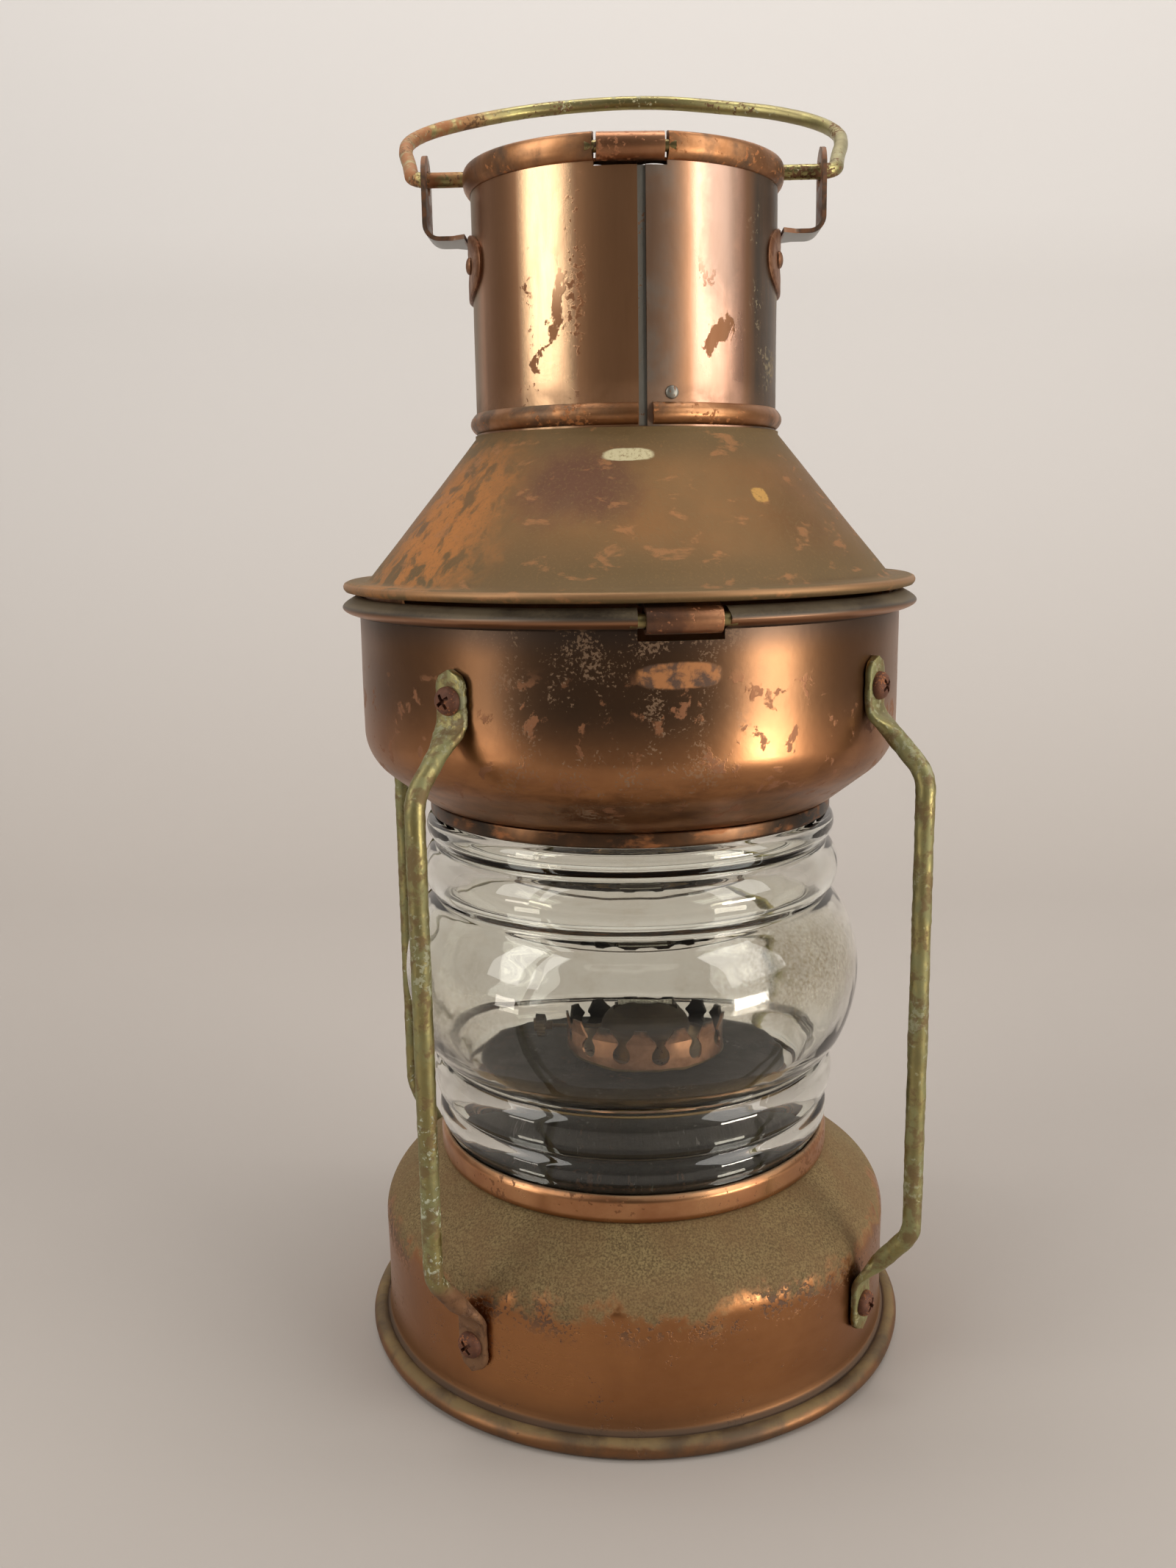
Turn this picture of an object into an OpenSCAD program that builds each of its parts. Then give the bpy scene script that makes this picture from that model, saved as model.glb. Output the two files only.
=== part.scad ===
// Ship's oil lantern: spun copper base and bowl, pressed glass lens,
// conical lid with chimney, guard rods, bail handle and flat-wick burner.
// Millimetres, +Z up, origin on the lantern's axis at floor level.
// The front is -Y; angles around the axis are measured from the front,
// positive towards +X.

/* [Body] */
// outer radius of the base wall and the bowl wall
wall_r = 84.8; // [76:0.1:105]
// thickness of the spun copper sheet
sheet_t = 0.9; // [0.6:0.1:1.2]
// height of the base up to the lens seat
base_h = 61.7; // [50:0.1:70]
// height of the lens between the two collars
lens_gap = 120.1; // [100:0.1:150]
// height of the bowl from the neck to the lid joint
bowl_h = 65.1; // [52:0.1:80]
// how far the bowl bead stands out from the bowl wall
bowl_bead = 5.2; // [3:0.1:7]
// slope of the dished sheet at base and bowl, in degrees
dish_slope = 38; // [25:1:45]
// corner radius between the base slope and its wall
base_corner = 13; // [6:0.5:16]
// corner radius between the bowl slope and its wall
bowl_corner = 16.4; // [6:0.1:18]
// radius of the rolled wire bead around the foot
foot_bead_r = 2.9; // [2:0.1:4]
// depth of the flat worn on the foot bead
foot_flat = 0.25; // [0.15:0.05:0.5]

/* [Lens] */
// wall radius of the glass inside the collars
glass_r = 63.2; // [56:0.1:66]
// how far the belly of the glass stands out past its foot
belly = 11.8; // [6:0.1:16]
// thickness of the glass at its foot and rim
glass_t = 3.6; // [2.5:0.1:5]

/* [Lid and chimney] */
// height of the lid cone from the flange to the chimney
cone_h = 42; // [34:0.5:52]
// how far the lid flange stands out past the bowl wall
flange_out = 4.7; // [2.5:0.1:6.5]
// gap between the bowl bead and the lid flange
lid_gap = 1.3; // [0.6:0.1:2.5]
// thickness of the folded lid flange
flange_t = 3.2; // [2.4:0.1:4]
// angle the lid hinge sits at
hinge_az = 9.7; // [0:0.1:20]
// width of the lid hinge strap
hinge_w = 20.4; // [14:0.1:26]
// outer radius of the chimney tube
chimney_r = 46.4; // [40:0.1:56]
// sheet thickness of the chimney tube and of its sleeve
chimney_t = 0.8; // [0.5:0.1:1.2]
// height of the chimney above the lid cone
chimney_h = 79; // [66:0.5:96]
// angle of the open chimney seam
seam_az = 4.7; // [0:0.1:10]
// width of the open chimney seam
seam_w = 2.4; // [1:0.1:4]
// how far the rim and the low bead stand out from the chimney
chimney_bead = 2.1; // [1.2:0.1:3]
// height of the rolled rim
rim_h = 7.4; // [6.6:0.1:9]
// angle the cap hinge sits at
cap_az = 2.5; // [-10:0.1:10]
// width of the cap hinge strap
cap_w = 18.6; // [12:0.1:24]

/* [Guard rods] */
// how far the upright rods stand off from the bowl wall
rod_out = 17.6; // [14:0.1:22]
// radius of the rod wire
rod_r = 2.8; // [2:0.1:3.4]
// angle of the first rod
rod_az = -34.4; // [-45:0.1:-25]
// height of the lower screws above the floor
low_screw_z = 26.3; // [22:0.1:30]
// depth of the upper screws below the top of the bowl
top_screw_drop = 25.6; // [20:0.1:30]
// radius of the screw heads
head_r = 4.1; // [3.4:0.1:4.6]

/* [Bail] */
// radius of the bail wire
bail_r = 2.25; // [1.8:0.05:2.6]
// how far the bail loop reaches out past each ear
bail_out = 9.4; // [8:0.1:16]
// length of the bail loop from its pivots to its top
bail_len = 86; // [71:0.1:104]
// lean of the bail from upright, in degrees
bail_lean = 62; // [50:1:75]
// how far the two ears stand off from the chimney
ear_out = 14.2; // [12:0.1:17]
// width of the ear straps
ear_w = 14; // [10:0.5:18]

/* [Burner] */
// radius of the oil font
font_r = 52; // [46:0.5:54]
// height of the font's top plate
font_top = 88; // [80:0.5:96]
// sideways offset of the burner from the lantern's axis
burner_x = 4.5; // [0:0.5:6]
// radius of the crown of prongs
crown_r = 26.7; // [24:0.1:30]
// number of prongs
prongs = 13; // [10:1:15]
// width of the flat wick
wick_w = 17.6; // [14:0.2:19]

/* [Fits] */
// running clearance of pins and wires in their holes
pin_fit = 0.08; // [0.03:0.01:0.1]
// clearance of the wick in its tube
wick_fit = 0.4; // [0.3:0.05:0.6]

/* [Hidden] */
$fn = 96;
neck_z = base_h + lens_gap;
neck_r = glass_r + 1.7;
bowl_top = neck_z + bowl_h;
bead_z = bowl_top - 3.3;
bead_r = wall_r + bowl_bead;
flange_r = wall_r + flange_out;
rod_reach = wall_r + rod_out;
ear_x = chimney_r + ear_out;
bail_half = ear_x + bail_out;
flange_z = bowl_top + lid_gap;
cone_foot = flange_z + flange_t + 0.2;
cone_top = cone_foot + cone_h;
top_z = cone_top + chimney_h;
rim_z = top_z - rim_h;
wall_in = wall_r - sheet_t;
seat_r = glass_r - glass_t - 1.6;
hinge_r = bead_r - 3.8;
hinge_pin_r = 1.9;
notch_w = hinge_w + 3;
tube_in = chimney_r - chimney_t;
sleeve_in = tube_in - chimney_t;
cap_hinge_r = chimney_r - 0.8;
cap_pin_r = 1.6;
cap_hinge_z = top_z - 3.9;
cap_notch = cap_w + 1.6;
pivot_z = top_z - 1.6;
top_screw_z = bowl_top - top_screw_drop;
shank_r = 1.95;
tab_t = 2.4;
wick_t = 2.4;
tube_t = 0.8;
wheel_r = 3.15;
shaft_y = wick_t / 2 + wheel_r + 0.35;
shaft_z = font_top + 10.4;
knob_x = -31;
catch_az = hinge_az + 180;
catch_r = bead_r + 1.6;
catch_z = bowl_top - 16.4;
// how much wider than its wire a joining ball is
ball = 0.02;

// ---- helpers -------------------------------------------------------------

// points of an arc, both ends included
function arc(cx, cz, r, a0, a1, n = 8) =
    [for (i = [0:n]) [cx + r * cos(a0 + (a1 - a0) * i / n),
                      cz + r * sin(a0 + (a1 - a0) * i / n)]];

function unit(v) = v / norm(v);

// turn something built at the front round to an angle
module at_az(a) {
    rotate([0, 0, a]) children();
}

// a rod lying along X from x0 to x1
module rod_x(x0, x1, r) {
    translate([x0, 0, 0]) rotate([0, 90, 0]) cylinder(h = x1 - x0, r = r);
}

// a pin pointing outwards at the front, from radius r0 to radius r1
module pin_out(r0, r1, r, z) {
    translate([0, -r0, z]) rotate([90, 0, 0]) cylinder(h = r1 - r0, r = r);
}

// round wire along a flat path, each inner corner bent to its own radius;
// a ball joins each straight to its bend, a hair wider than the wire
module wire(p, bend, r) {
    n = len(p);
    // length each corner takes from the straights beside it
    cut = [for (i = [0:n - 1]) (i == 0 || i == n - 1) ? 0 :
        bend[i - 1] / tan(acos(unit(p[i - 1] - p[i]) * unit(p[i + 1] - p[i])) / 2)];
    for (i = [0:n - 2]) {
        d = unit(p[i + 1] - p[i]);
        a = p[i] + d * cut[i];
        run = norm(p[i + 1] - p[i]) - cut[i] - cut[i + 1];
        translate([a[0], a[1], 0])
            rotate([0, 0, atan2(d[1], d[0])])
                rod_x(0, run, r);
    }
    for (i = [1:n - 2]) {
        u = unit(p[i - 1] - p[i]);
        v = unit(p[i + 1] - p[i]);
        half = acos(u * v) / 2;
        c = p[i] + unit(u + v) * bend[i - 1] / sin(half);
        s = p[i] + u * cut[i] - c;
        turn = 180 - 2 * half;
        clockwise = (v[0] * u[1] - v[1] * u[0]) < 0;
        a0 = atan2(s[1], s[0]) - (clockwise ? turn : 0);
        translate([c[0], c[1], 0]) {
            rotate([0, 0, a0])
                rotate_extrude(angle = turn)
                    translate([bend[i - 1], 0]) circle(r);
            for (a = [a0, a0 + turn])
                rotate([0, 0, a]) translate([bend[i - 1], 0, 0]) sphere(r = r + ball);
        }
    }
}

// the same wire with its path given as [y, z] points
module wire_yz(p, bend, r) {
    rotate([90, 0, 90]) wire(p, bend, r);
}

// the four guard rods' angles
function rod_angle(i) = rod_az + 90 * i;

// cuts through a wall for the guard screws at one height
module screw_holes(z) {
    for (i = [0:3])
        at_az(rod_angle(i)) pin_out(wall_r - 6, wall_r + 6, shank_r, z);
}

// cut for a wide notch at the front, from height z0 to z1
module front_notch(w, r0, r1, z0, z1) {
    translate([-w / 2, -r1, z0]) cube([w, r1 - r0, z1 - z0]);
}

// ---- base, font and burner -----------------------------------------------

// slope and corner of the dished sheet, as drawn on its outer face
function dish_end(c) = wall_r - c + c * sin(dish_slope);
function dish_drop(c) = (dish_end(c) - neck_r) * tan(dish_slope);

module base_profile() {
    c = base_corner;
    a = 90 - dish_slope;
    zc = base_h - dish_drop(c) - c * sin(a);
    k = sheet_t * tan(dish_slope / 2);
    outer = concat([[seat_r, base_h], [neck_r, base_h]],
                   arc(wall_r - c, zc, c, a, 0),
                   [[wall_r, 8.4], [wall_r + 0.5, 6.4], [wall_r + 1.6, 5.0]]);
    inner = concat([[wall_r + 0.9, 3.6], [wall_in + 0.2, 5.6], [wall_in, 8.4]],
                   arc(wall_r - c, zc, c - sheet_t, 0, a),
                   [[neck_r - k, base_h - sheet_t], [seat_r, base_h - sheet_t]]);
    polygon(concat(outer, inner));
}

module base_shell() {
    color("peru")
    difference() {
        union() {
            rotate_extrude() base_profile();
            rotate_extrude() translate([wall_r + 3, foot_bead_r - foot_flat]) circle(foot_bead_r);
        }
        // flat worn on the bead where it stands
        translate([0, 0, -5]) cylinder(h = 5, r = wall_r + 20);
        screw_holes(low_screw_z);
    }
}

module base_pan() {
    color("sienna")
    rotate_extrude()
        polygon([[0, 5], [wall_in - 3, 5], [wall_in - 1.2, 5.6], [wall_in - 0.9, 12.5],
                 [wall_in, 12.5], [wall_in, 13.4], [wall_in - 1.8, 13.4],
                 [wall_in - 2, 6.2], [wall_in - 3.2, 5.9], [0, 5.9]]);
}

module font_body() {
    color("dimgray")
    rotate_extrude()
        polygon([[0, 5.9], [font_r - 1, 5.9], [font_r, 7], [font_r, font_top - 2],
                 [font_r - 0.8, font_top - 2], [font_r - 0.8, 7.2], [font_r - 1.4, 6.7],
                 [0, 6.7]]);
}

module font_top() {
    z = font_top;
    color("dimgray")
    difference() {
        rotate_extrude()
            polygon([[0, z], [font_r - 7, z], [font_r - 1.6, z - 0.9], [font_r + 0.9, z - 0.6],
                     [font_r + 1.6, z - 1.6], [font_r + 1.2, z - 3.2], [font_r, z - 3.4],
                     [font_r, z - 2], [font_r - 1.8, z - 2], [font_r - 7, z - 0.8],
                     [0, z - 0.8]]);
        translate([burner_x, 0, z - 5]) cylinder(h = 10, r = 11.8);
    }
}

module font_neck() {
    color("goldenrod")
    translate([burner_x, 0, 0])
        rotate_extrude()
            polygon([[11, font_top - 3], [11, font_top + 3.4], [13.4, font_top + 3.4],
                     [14.2, font_top + 2.4], [14.2, font_top], [11.8, font_top],
                     [11.8, font_top - 0.8], [12.6, font_top - 0.8],
                     [12.6, font_top - 3]]);
}

// the burner stands on the font neck
burner_z = font_top + 3.4;

module burner_base() {
    z = burner_z;
    color("goldenrod")
    translate([burner_x, 0, 0])
        difference() {
            rotate_extrude()
                polygon([[0, z - 0.8], [9.9, z - 0.8], [9.9, z - 6], [10.9, z - 6],
                         [10.9, z], [17, z], [23, z + 1.4], [crown_r + 0.3, z + 1.8],
                         [crown_r + 0.3, z + 2.6], [22.8, z + 2.3], [16.8, z + 0.9],
                         [0, z + 0.9]]);
            wick_slot(z - 8, z + 4, wick_w + 2 * wick_fit + 2 * tube_t,
                      wick_t + 4 * wick_fit + 2 * tube_t);
        }
}

// a flat upright slot with square ends, centred on the burner
module wick_slot(z0, z1, w, t) {
    translate([-w / 2, -t / 2, z0]) cube([w, t, z1 - z0]);
}

// outline of the notch between two prongs: a round hole that opens upwards
function prong_notch(z) = concat(arc(0, z, 2.9, 130, 410, 12),
    [[1.3, z + 3.3], [1.7, z + 4.4], [2.9, z + 6], [4, z + 8], [4.5, z + 10],
     [-4.5, z + 10], [-4, z + 8], [-2.9, z + 6], [-1.7, z + 4.4], [-1.3, z + 3.3]]);

module burner_crown() {
    z = burner_z + 2.6;
    r = crown_r;
    color("peru")
    translate([burner_x, 0, 0])
        difference() {
            rotate_extrude()
                polygon([[r - 0.8, z], [r + 0.3, z], [r + 0.1, z + 3], [r - 0.6, z + 8],
                         [r - 0.2, z + 13.6], [r - 1, z + 13.6], [r - 1.4, z + 8],
                         [r - 0.7, z + 3]]);
            for (i = [0:prongs - 1])
                rotate([0, 0, -100.4 + i * 360 / prongs])
                    translate([0, -r + 5, 0]) rotate([90, 0, 0])
                        linear_extrude(height = 10) polygon(prong_notch(shaft_z));
        }
}

module burner_dome() {
    z = burner_z + 0.9;
    color("goldenrod")
    translate([burner_x, 0, 0])
        difference() {
            rotate_extrude()
                polygon(concat([[14.4, z]], arc(0, z + 7, 15.2, 0, 66),
                               [[5.2, z + 21], [4.6, z + 20.4]],
                               arc(0, z + 7, 14.4, 66, 0)));
            wick_slot(z + 10, z + 30, wick_w + 2 * wick_fit + 2 * tube_t + 1,
                      wick_t + 4 * wick_fit + 2 * tube_t + 1);
            translate([-20, shaft_y, shaft_z]) rod_x(0, 40, 2.4);
        }
}

module wick_tube() {
    w = wick_w + 2 * wick_fit;
    t = wick_t + 4 * wick_fit;
    z0 = burner_z - 6;
    z1 = burner_z + 20.4;
    color("goldenrod")
    translate([burner_x, 0, 0])
        difference() {
            union() {
                wick_slot(z0, z1, w + 2 * tube_t, t + 2 * tube_t);
                // bearing lugs for the wick shaft
                for (x = [-9.4, 7.9])
                    translate([x, t / 2, shaft_z - 4.5]) cube([1.5, shaft_y - t / 2 + 2.4, 7.5]);
            }
            wick_slot(z0 - 1, z1 + 1, w, t);
            // windows for the two spur wheels
            for (x = [-6.4, 3])
                translate([x, t / 2 - 0.2, shaft_z - 4.2]) cube([3.4, tube_t + 0.4, 8.4]);
            translate([-12, shaft_y, shaft_z]) rod_x(0, 24, 1 + pin_fit);
        }
}

module wick_shaft() {
    color("darkgoldenrod")
    translate([0, shaft_y, shaft_z]) {
        rod_x(knob_x, burner_x + 10.6, 1);
        // spur wheels that grip the wick
        for (x = [-6, 3.4])
            translate([burner_x + x, 0, 0])
                for (k = [0:2])
                    rotate([k * 30, 0, 0]) rotate([0, 90, 0])
                        cylinder(h = 2.6, r = wheel_r, $fn = 4);
    }
}

module wick_knob() {
    color("darkgoldenrod")
    translate([knob_x, shaft_y, shaft_z])
        difference() {
            union() {
                rod_x(-1.5, 1.3, 5.4);
                rod_x(-2.4, -1.5, 3.2);
                rod_x(1.3, 4, 2.2);
            }
            rod_x(0, 5, 1);
            // grooves round the milled edge
            for (k = [0:17])
                rotate([k * 20, 0, 0]) translate([-3, 0, 5.6]) rod_x(0, 5, 0.5);
        }
}

module wick() {
    color("ivory")
    translate([burner_x, 0, 0])
        wick_slot(font_top - 32, burner_z + 22, wick_w, wick_t);
}

// ---- lens and its seats ----------------------------------------------------

module lens_seat() {
    z = base_h;
    g = glass_r + 0.1;
    color("peru")
    rotate_extrude()
        polygon([[seat_r, z], [neck_r, z], [neck_r + 0.5, z + 1.6], [neck_r + 0.5, z + 7.0],
                 [neck_r + 0.1, z + 8.2], [neck_r - 0.7, z + 8.6], [g, z + 8.3],
                 [g, z + sheet_t], [seat_r, z + sheet_t]]);
}

module neck_collar() {
    z = neck_z;
    g = glass_r + 0.1;
    color("saddlebrown")
    rotate_extrude()
        polygon([[seat_r, z], [neck_r, z], [neck_r, z - 3.9], [neck_r - 0.5, z - 4.6],
                 [g, z - 4.5], [g, z - sheet_t], [seat_r, z - sheet_t]]);
}

module lens_gasket(z) {
    color("dimgray")
    translate([0, 0, z])
        difference() {
            cylinder(h = 0.7, r = glass_r);
            translate([0, 0, -1]) cylinder(h = 3, r = glass_r - glass_t);
        }
}

module lens_gasket_low() {
    lens_gasket(base_h + sheet_t);
}

module lens_gasket_up() {
    lens_gasket(neck_z - sheet_t - 0.7);
}

module lens() {
    z0 = base_h + sheet_t + 0.7;
    z1 = neck_z - sheet_t - 0.7;
    zm = (base_h + neck_z) / 2 + 2;
    up = (neck_z - 4.6 - zm) / 52.6;
    lo = (zm - base_h - 8.6) / 53.5;
    b = belly;
    g = glass_r;
    // outer face, from the foot up to the rim: ribs, belly, ribs
    outer = [[g, z0], [g, zm - 53.2 * lo], [g + 0.5, zm - 52.3 * lo],
             [g + 1.7, zm - 50.5 * lo], [g + 2.2, zm - 48.2 * lo], [g + 1.9, zm - 45.8 * lo],
             [g + 1.2, zm - 43.8 * lo], [g + 1.3, zm - 41.8 * lo],
             [g + 2.6, zm - 39 * lo], [g + 3.5, zm - 36 * lo], [g + 3.7, zm - 34 * lo],
             [g + 3.3, zm - 31.2 * lo], [g + 2.5, zm - 28.8 * lo], [g + 2.2, zm - 27 * lo],
             [g + 2.2 + (b - 2.2) * 0.13, zm - 25.6 * lo],
             [g + 2.2 + (b - 2.2) * 0.35, zm - 22.6 * lo],
             [g + 2.2 + (b - 2.2) * 0.58, zm - 18.6 * lo],
             [g + 2.2 + (b - 2.2) * 0.78, zm - 13.4 * lo],
             [g + 2.2 + (b - 2.2) * 0.93, zm - 7.2 * lo],
             [g + b, zm], [g + 2.2 + (b - 2.2) * 0.94, zm + 6.6 * up],
             [g + 2.2 + (b - 2.2) * 0.79, zm + 12.8 * up],
             [g + 2.2 + (b - 2.2) * 0.58, zm + 18.2 * up],
             [g + 2.2 + (b - 2.2) * 0.32, zm + 22 * up],
             [g + 2.2 + (b - 2.2) * 0.1, zm + 24.4 * up], [g + 2.2, zm + 25.6 * up],
             [g + 3.0, zm + 27.8 * up], [g + 4.1, zm + 31 * up], [g + 4.6, zm + 34.2 * up],
             [g + 4.3, zm + 37.4 * up], [g + 3, zm + 40.6 * up], [g + 1.7, zm + 43 * up],
             [g + 2.4, zm + 45.2 * up], [g + 3.0, zm + 47 * up], [g + 3.1, zm + 48.9 * up],
             [g + 2.4, zm + 51.4 * up], [g, zm + 52.4 * up], [g, z1]];
    // smooth inner face, from the rim down to the foot
    gi = g - glass_t;
    inner = [[gi, z1], [gi, zm + 34 * up], [gi + 1.2, zm + 26 * up],
             [gi + b * 0.45, zm + 19 * up], [gi + b * 0.72, zm + 12 * up],
             [gi + b * 0.9, zm + 5 * up], [gi + b * 0.93, zm], [gi + b * 0.9, zm - 5 * lo],
             [gi + b * 0.72, zm - 12 * lo], [gi + b * 0.45, zm - 19 * lo],
             [gi + 1.2, zm - 26.5 * lo], [gi, zm - 34 * lo], [gi, z0]];
    color("lightcyan", 0.4) rotate_extrude() polygon(concat(outer, inner));
}

// ---- bowl, guard rods and catch ---------------------------------------------

module bowl_profile() {
    c = bowl_corner;
    a = dish_slope - 90;
    zc = neck_z + dish_drop(c) + c * cos(dish_slope);
    k = sheet_t * tan(dish_slope / 2);
    z = bead_z;
    outer = concat([[seat_r, neck_z], [neck_r, neck_z]],
                   arc(wall_r - c, zc, c, a, 0),
                   [[wall_r, z - 2.7], [bead_r - 1.6, z - 1.5], [bead_r - 0.4, z - 0.8],
                    [bead_r, z], [bead_r - 0.4, z + 0.9], [wall_r + 1.7, z + 3],
                    [wall_r + 0.6, z + 3.3]]);
    inner = concat([[wall_in, z + 3.3]],
                   arc(wall_r - c, zc, c - sheet_t, 0, a),
                   [[neck_r - k, neck_z + sheet_t], [seat_r, neck_z + sheet_t]]);
    polygon(concat(outer, inner));
}

module bowl_shell() {
    color("saddlebrown")
    difference() {
        rotate_extrude() bowl_profile();
        screw_holes(top_screw_z);
        at_az(hinge_az) {
            front_notch(notch_w, wall_r - 12, bead_r + 2, bead_z - 5.6, bead_z + 8);
            translate([-notch_w / 2 - 2.6, -hinge_r, bead_z])
                rod_x(0, notch_w + 5.2, hinge_pin_r);
        }
    }
}

module hinge_pin() {
    color("goldenrod")
    at_az(hinge_az)
        translate([-notch_w / 2 - 2.6, -hinge_r, bead_z])
            rod_x(0, notch_w + 5.2, hinge_pin_r);
}

// flat end of a guard rod, centred on its screw
module rod_tab(z, h0, h1) {
    difference() {
        union() {
            translate([-5, -wall_r - tab_t, z - h0]) cube([10, tab_t, h0 + h1]);
            translate([0, -wall_r, z + h1]) rotate([90, 0, 0]) cylinder(h = tab_t, r = 5);
            translate([0, -wall_r, z - h0]) rotate([90, 0, 0]) cylinder(h = tab_t, r = 5);
        }
        pin_out(wall_r - 2, wall_r + 6, shank_r + 0.1, z);
    }
}

module guard_rod(i) {
    t = wall_r + tab_t / 2;
    out = rod_reach - t;
    zu = top_screw_z - 9;
    zl = low_screw_z + 9;
    color("olive")
    at_az(rod_angle(i)) {
        difference() {
            wire_yz([[-t + 3, zu + 2], [-rod_reach, zu - 2 - out * 0.82],
                     [-rod_reach, zl + 2 + out * 1.05], [-t + 3, zl - 2]],
                    [8, 8], rod_r);
            // the rod ends inside its flattened tab
            translate([-10, -wall_r - 0.8, 0]) cube([20, 20, bowl_top]);
        }
        rod_tab(top_screw_z, 8, 3.5);
        rod_tab(low_screw_z, 4, 8);
    }
}

module guard_rod_1() {
    guard_rod(0);
}

module guard_rod_2() {
    guard_rod(1);
}

module guard_rod_3() {
    guard_rod(2);
}

module guard_rod_4() {
    guard_rod(3);
}

// pan head screw with a cross recess
module pan_screw(z) {
    face = wall_r + tab_t;
    difference() {
        union() {
            pin_out(wall_r - 6, face, shank_r, z);
            pin_out(face, face + 1.3, head_r, z);
            intersection() {
                pin_out(face + 1.3, face + 2.7, head_r, z);
                translate([0, -face + 2.05, z]) sphere(r = 4.9);
            }
        }
        translate([-0.55, -face - 4, z - 2]) cube([1.1, 2.4, 4]);
        translate([-2, -face - 4, z - 0.55]) cube([4, 2.4, 1.1]);
    }
}

module guard_screws() {
    color("maroon")
    for (i = [0:3])
        at_az(rod_angle(i)) {
            pan_screw(top_screw_z);
            pan_screw(low_screw_z);
        }
}

module guard_nuts() {
    color("maroon")
    for (i = [0:3], z = [low_screw_z, top_screw_z])
        at_az(rod_angle(i))
            difference() {
                translate([0, -wall_in + 2.9, z]) rotate([90, 0, 0])
                    cylinder(h = 2.7, r = 4.04, $fn = 6);
                pin_out(wall_r - 9, wall_r, shank_r, z);
            }
}

// bracket for the lid catch, at the back
module catch_bracket() {
    w = 17;
    color("goldenrod")
    at_az(catch_az)
        difference() {
            union() {
                intersection() {
                    difference() {
                        cylinder(h = bowl_top, r = wall_r + 1, $fn = 192);
                        cylinder(h = bowl_top, r = wall_r, $fn = 192);
                    }
                    front_notch(w + 8, wall_r - 4, wall_r + 4, catch_z - 6, catch_z + 5);
                }
                for (x = [-w / 2, w / 2 - 1.6])
                    translate([x, -catch_r - 2.6, catch_z - 3.5])
                        cube([1.6, catch_r + 2.6 - wall_r - 0.4, 7]);
            }
            translate([-w, -catch_r, catch_z]) rod_x(0, 2 * w, 1 + pin_fit);
        }
}

// wire loop that hooks over the lid flange, shown hanging free
module lid_catch() {
    w = 17;
    top = flange_z + flange_t + 2.2 - catch_z;
    color("goldenrod")
    at_az(catch_az)
        translate([0, -catch_r, catch_z]) {
            // pins in the bracket
            for (s = [-1, 1])
                translate([s > 0 ? w / 2 - 2 : -w / 2 - 2.4, 0, 0]) rod_x(0, 4.4, 1);
            // legs, each hooked at its free end
            for (s = [-1, 1])
                translate([s * (w / 2 + 2.4), 0, 0]) {
                    sphere(r = 1 + ball);
                    wire_yz([[0, 0], [0, -top], [-5, -top]], [3], 1);
                    translate([0, -5, -top]) sphere(r = 1 + ball);
                }
            // crossbar
            translate([-w / 2 - 2.4, -5, -top]) rod_x(0, w + 4.8, 1);
        }
}

// ---- lid and chimney ---------------------------------------------------------

module lid_cone() {
    f = flange_z;
    t = sheet_t;
    foot_r = wall_r - 3.2;
    slope = atan2(cone_top - cone_foot, foot_r - chimney_r - t);
    // sideways thickness of the sloping sheet
    s = t / sin(slope);
    color("peru")
    rotate_extrude()
        polygon([[foot_r, cone_foot], [flange_r - 1.6, f + flange_t],
                 [flange_r - 0.4, f + flange_t * 0.8], [flange_r, f + flange_t * 0.5],
                 [flange_r - 0.4, f + flange_t * 0.2], [flange_r - 1.6, f],
                 [foot_r - 2, f], [foot_r - s - 0.6, cone_foot],
                 [chimney_r, cone_top - t], [chimney_r, cone_top + 1.2],
                 [chimney_r + t, cone_top + 1.2], [chimney_r + t, cone_top]]);
}

// locating skirt inside the bowl, left open around the hinge
module lid_skirt() {
    color("sienna")
    rotate([0, 0, hinge_az - 30])
        rotate_extrude(angle = 240)
            polygon([[wall_in - 1.5, flange_z - 4.4], [wall_in - 0.7, flange_z - 4.4],
                     [wall_in - 0.7, flange_z], [wall_in - 1.5, flange_z]]);
}

// strap rolled round a hinge pin, with a leaf towards the middle
module rolled_strap(w, pin, roll, leaf_l, leaf_z, leaf_t) {
    difference() {
        union() {
            translate([-w / 2, 0, 0]) rod_x(0, w, roll);
            translate([-w / 2, 0, leaf_z]) cube([w, leaf_l, leaf_t]);
        }
        translate([-w / 2 - 1, 0, 0]) rod_x(0, w + 2, pin + pin_fit);
    }
}

module lid_strap() {
    color("peru")
    at_az(hinge_az)
        translate([0, -hinge_r, bead_z])
            rolled_strap(hinge_w, hinge_pin_r, 3.7, 11, 3.3 + lid_gap - 1.3, 1.3);
}

module rivet_holes() {
    for (s = [-1, 1], a = [-14, 14])
        at_az(s * 90 + a) pin_out(sleeve_in - 2, chimney_r + 4, 1.5, top_z - 28.5);
    at_az(16.5) pin_out(sleeve_in - 2, chimney_r + 4, 1, cone_top + 10.5);
}

module chimney_shell() {
    color("peru")
    difference() {
        translate([0, 0, cone_top - 6]) cylinder(h = chimney_h + 6, r = chimney_r);
        translate([0, 0, cone_top - 7]) cylinder(h = chimney_h + 9, r = tube_in);
        // open seam
        rotate([0, 0, seam_az])
            translate([0, -chimney_r - 3, cone_top + 1.4])
                cube([seam_w, 8, rim_z - cone_top - 1.4]);
        rim_cuts();
        rivet_holes();
    }
}

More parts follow.
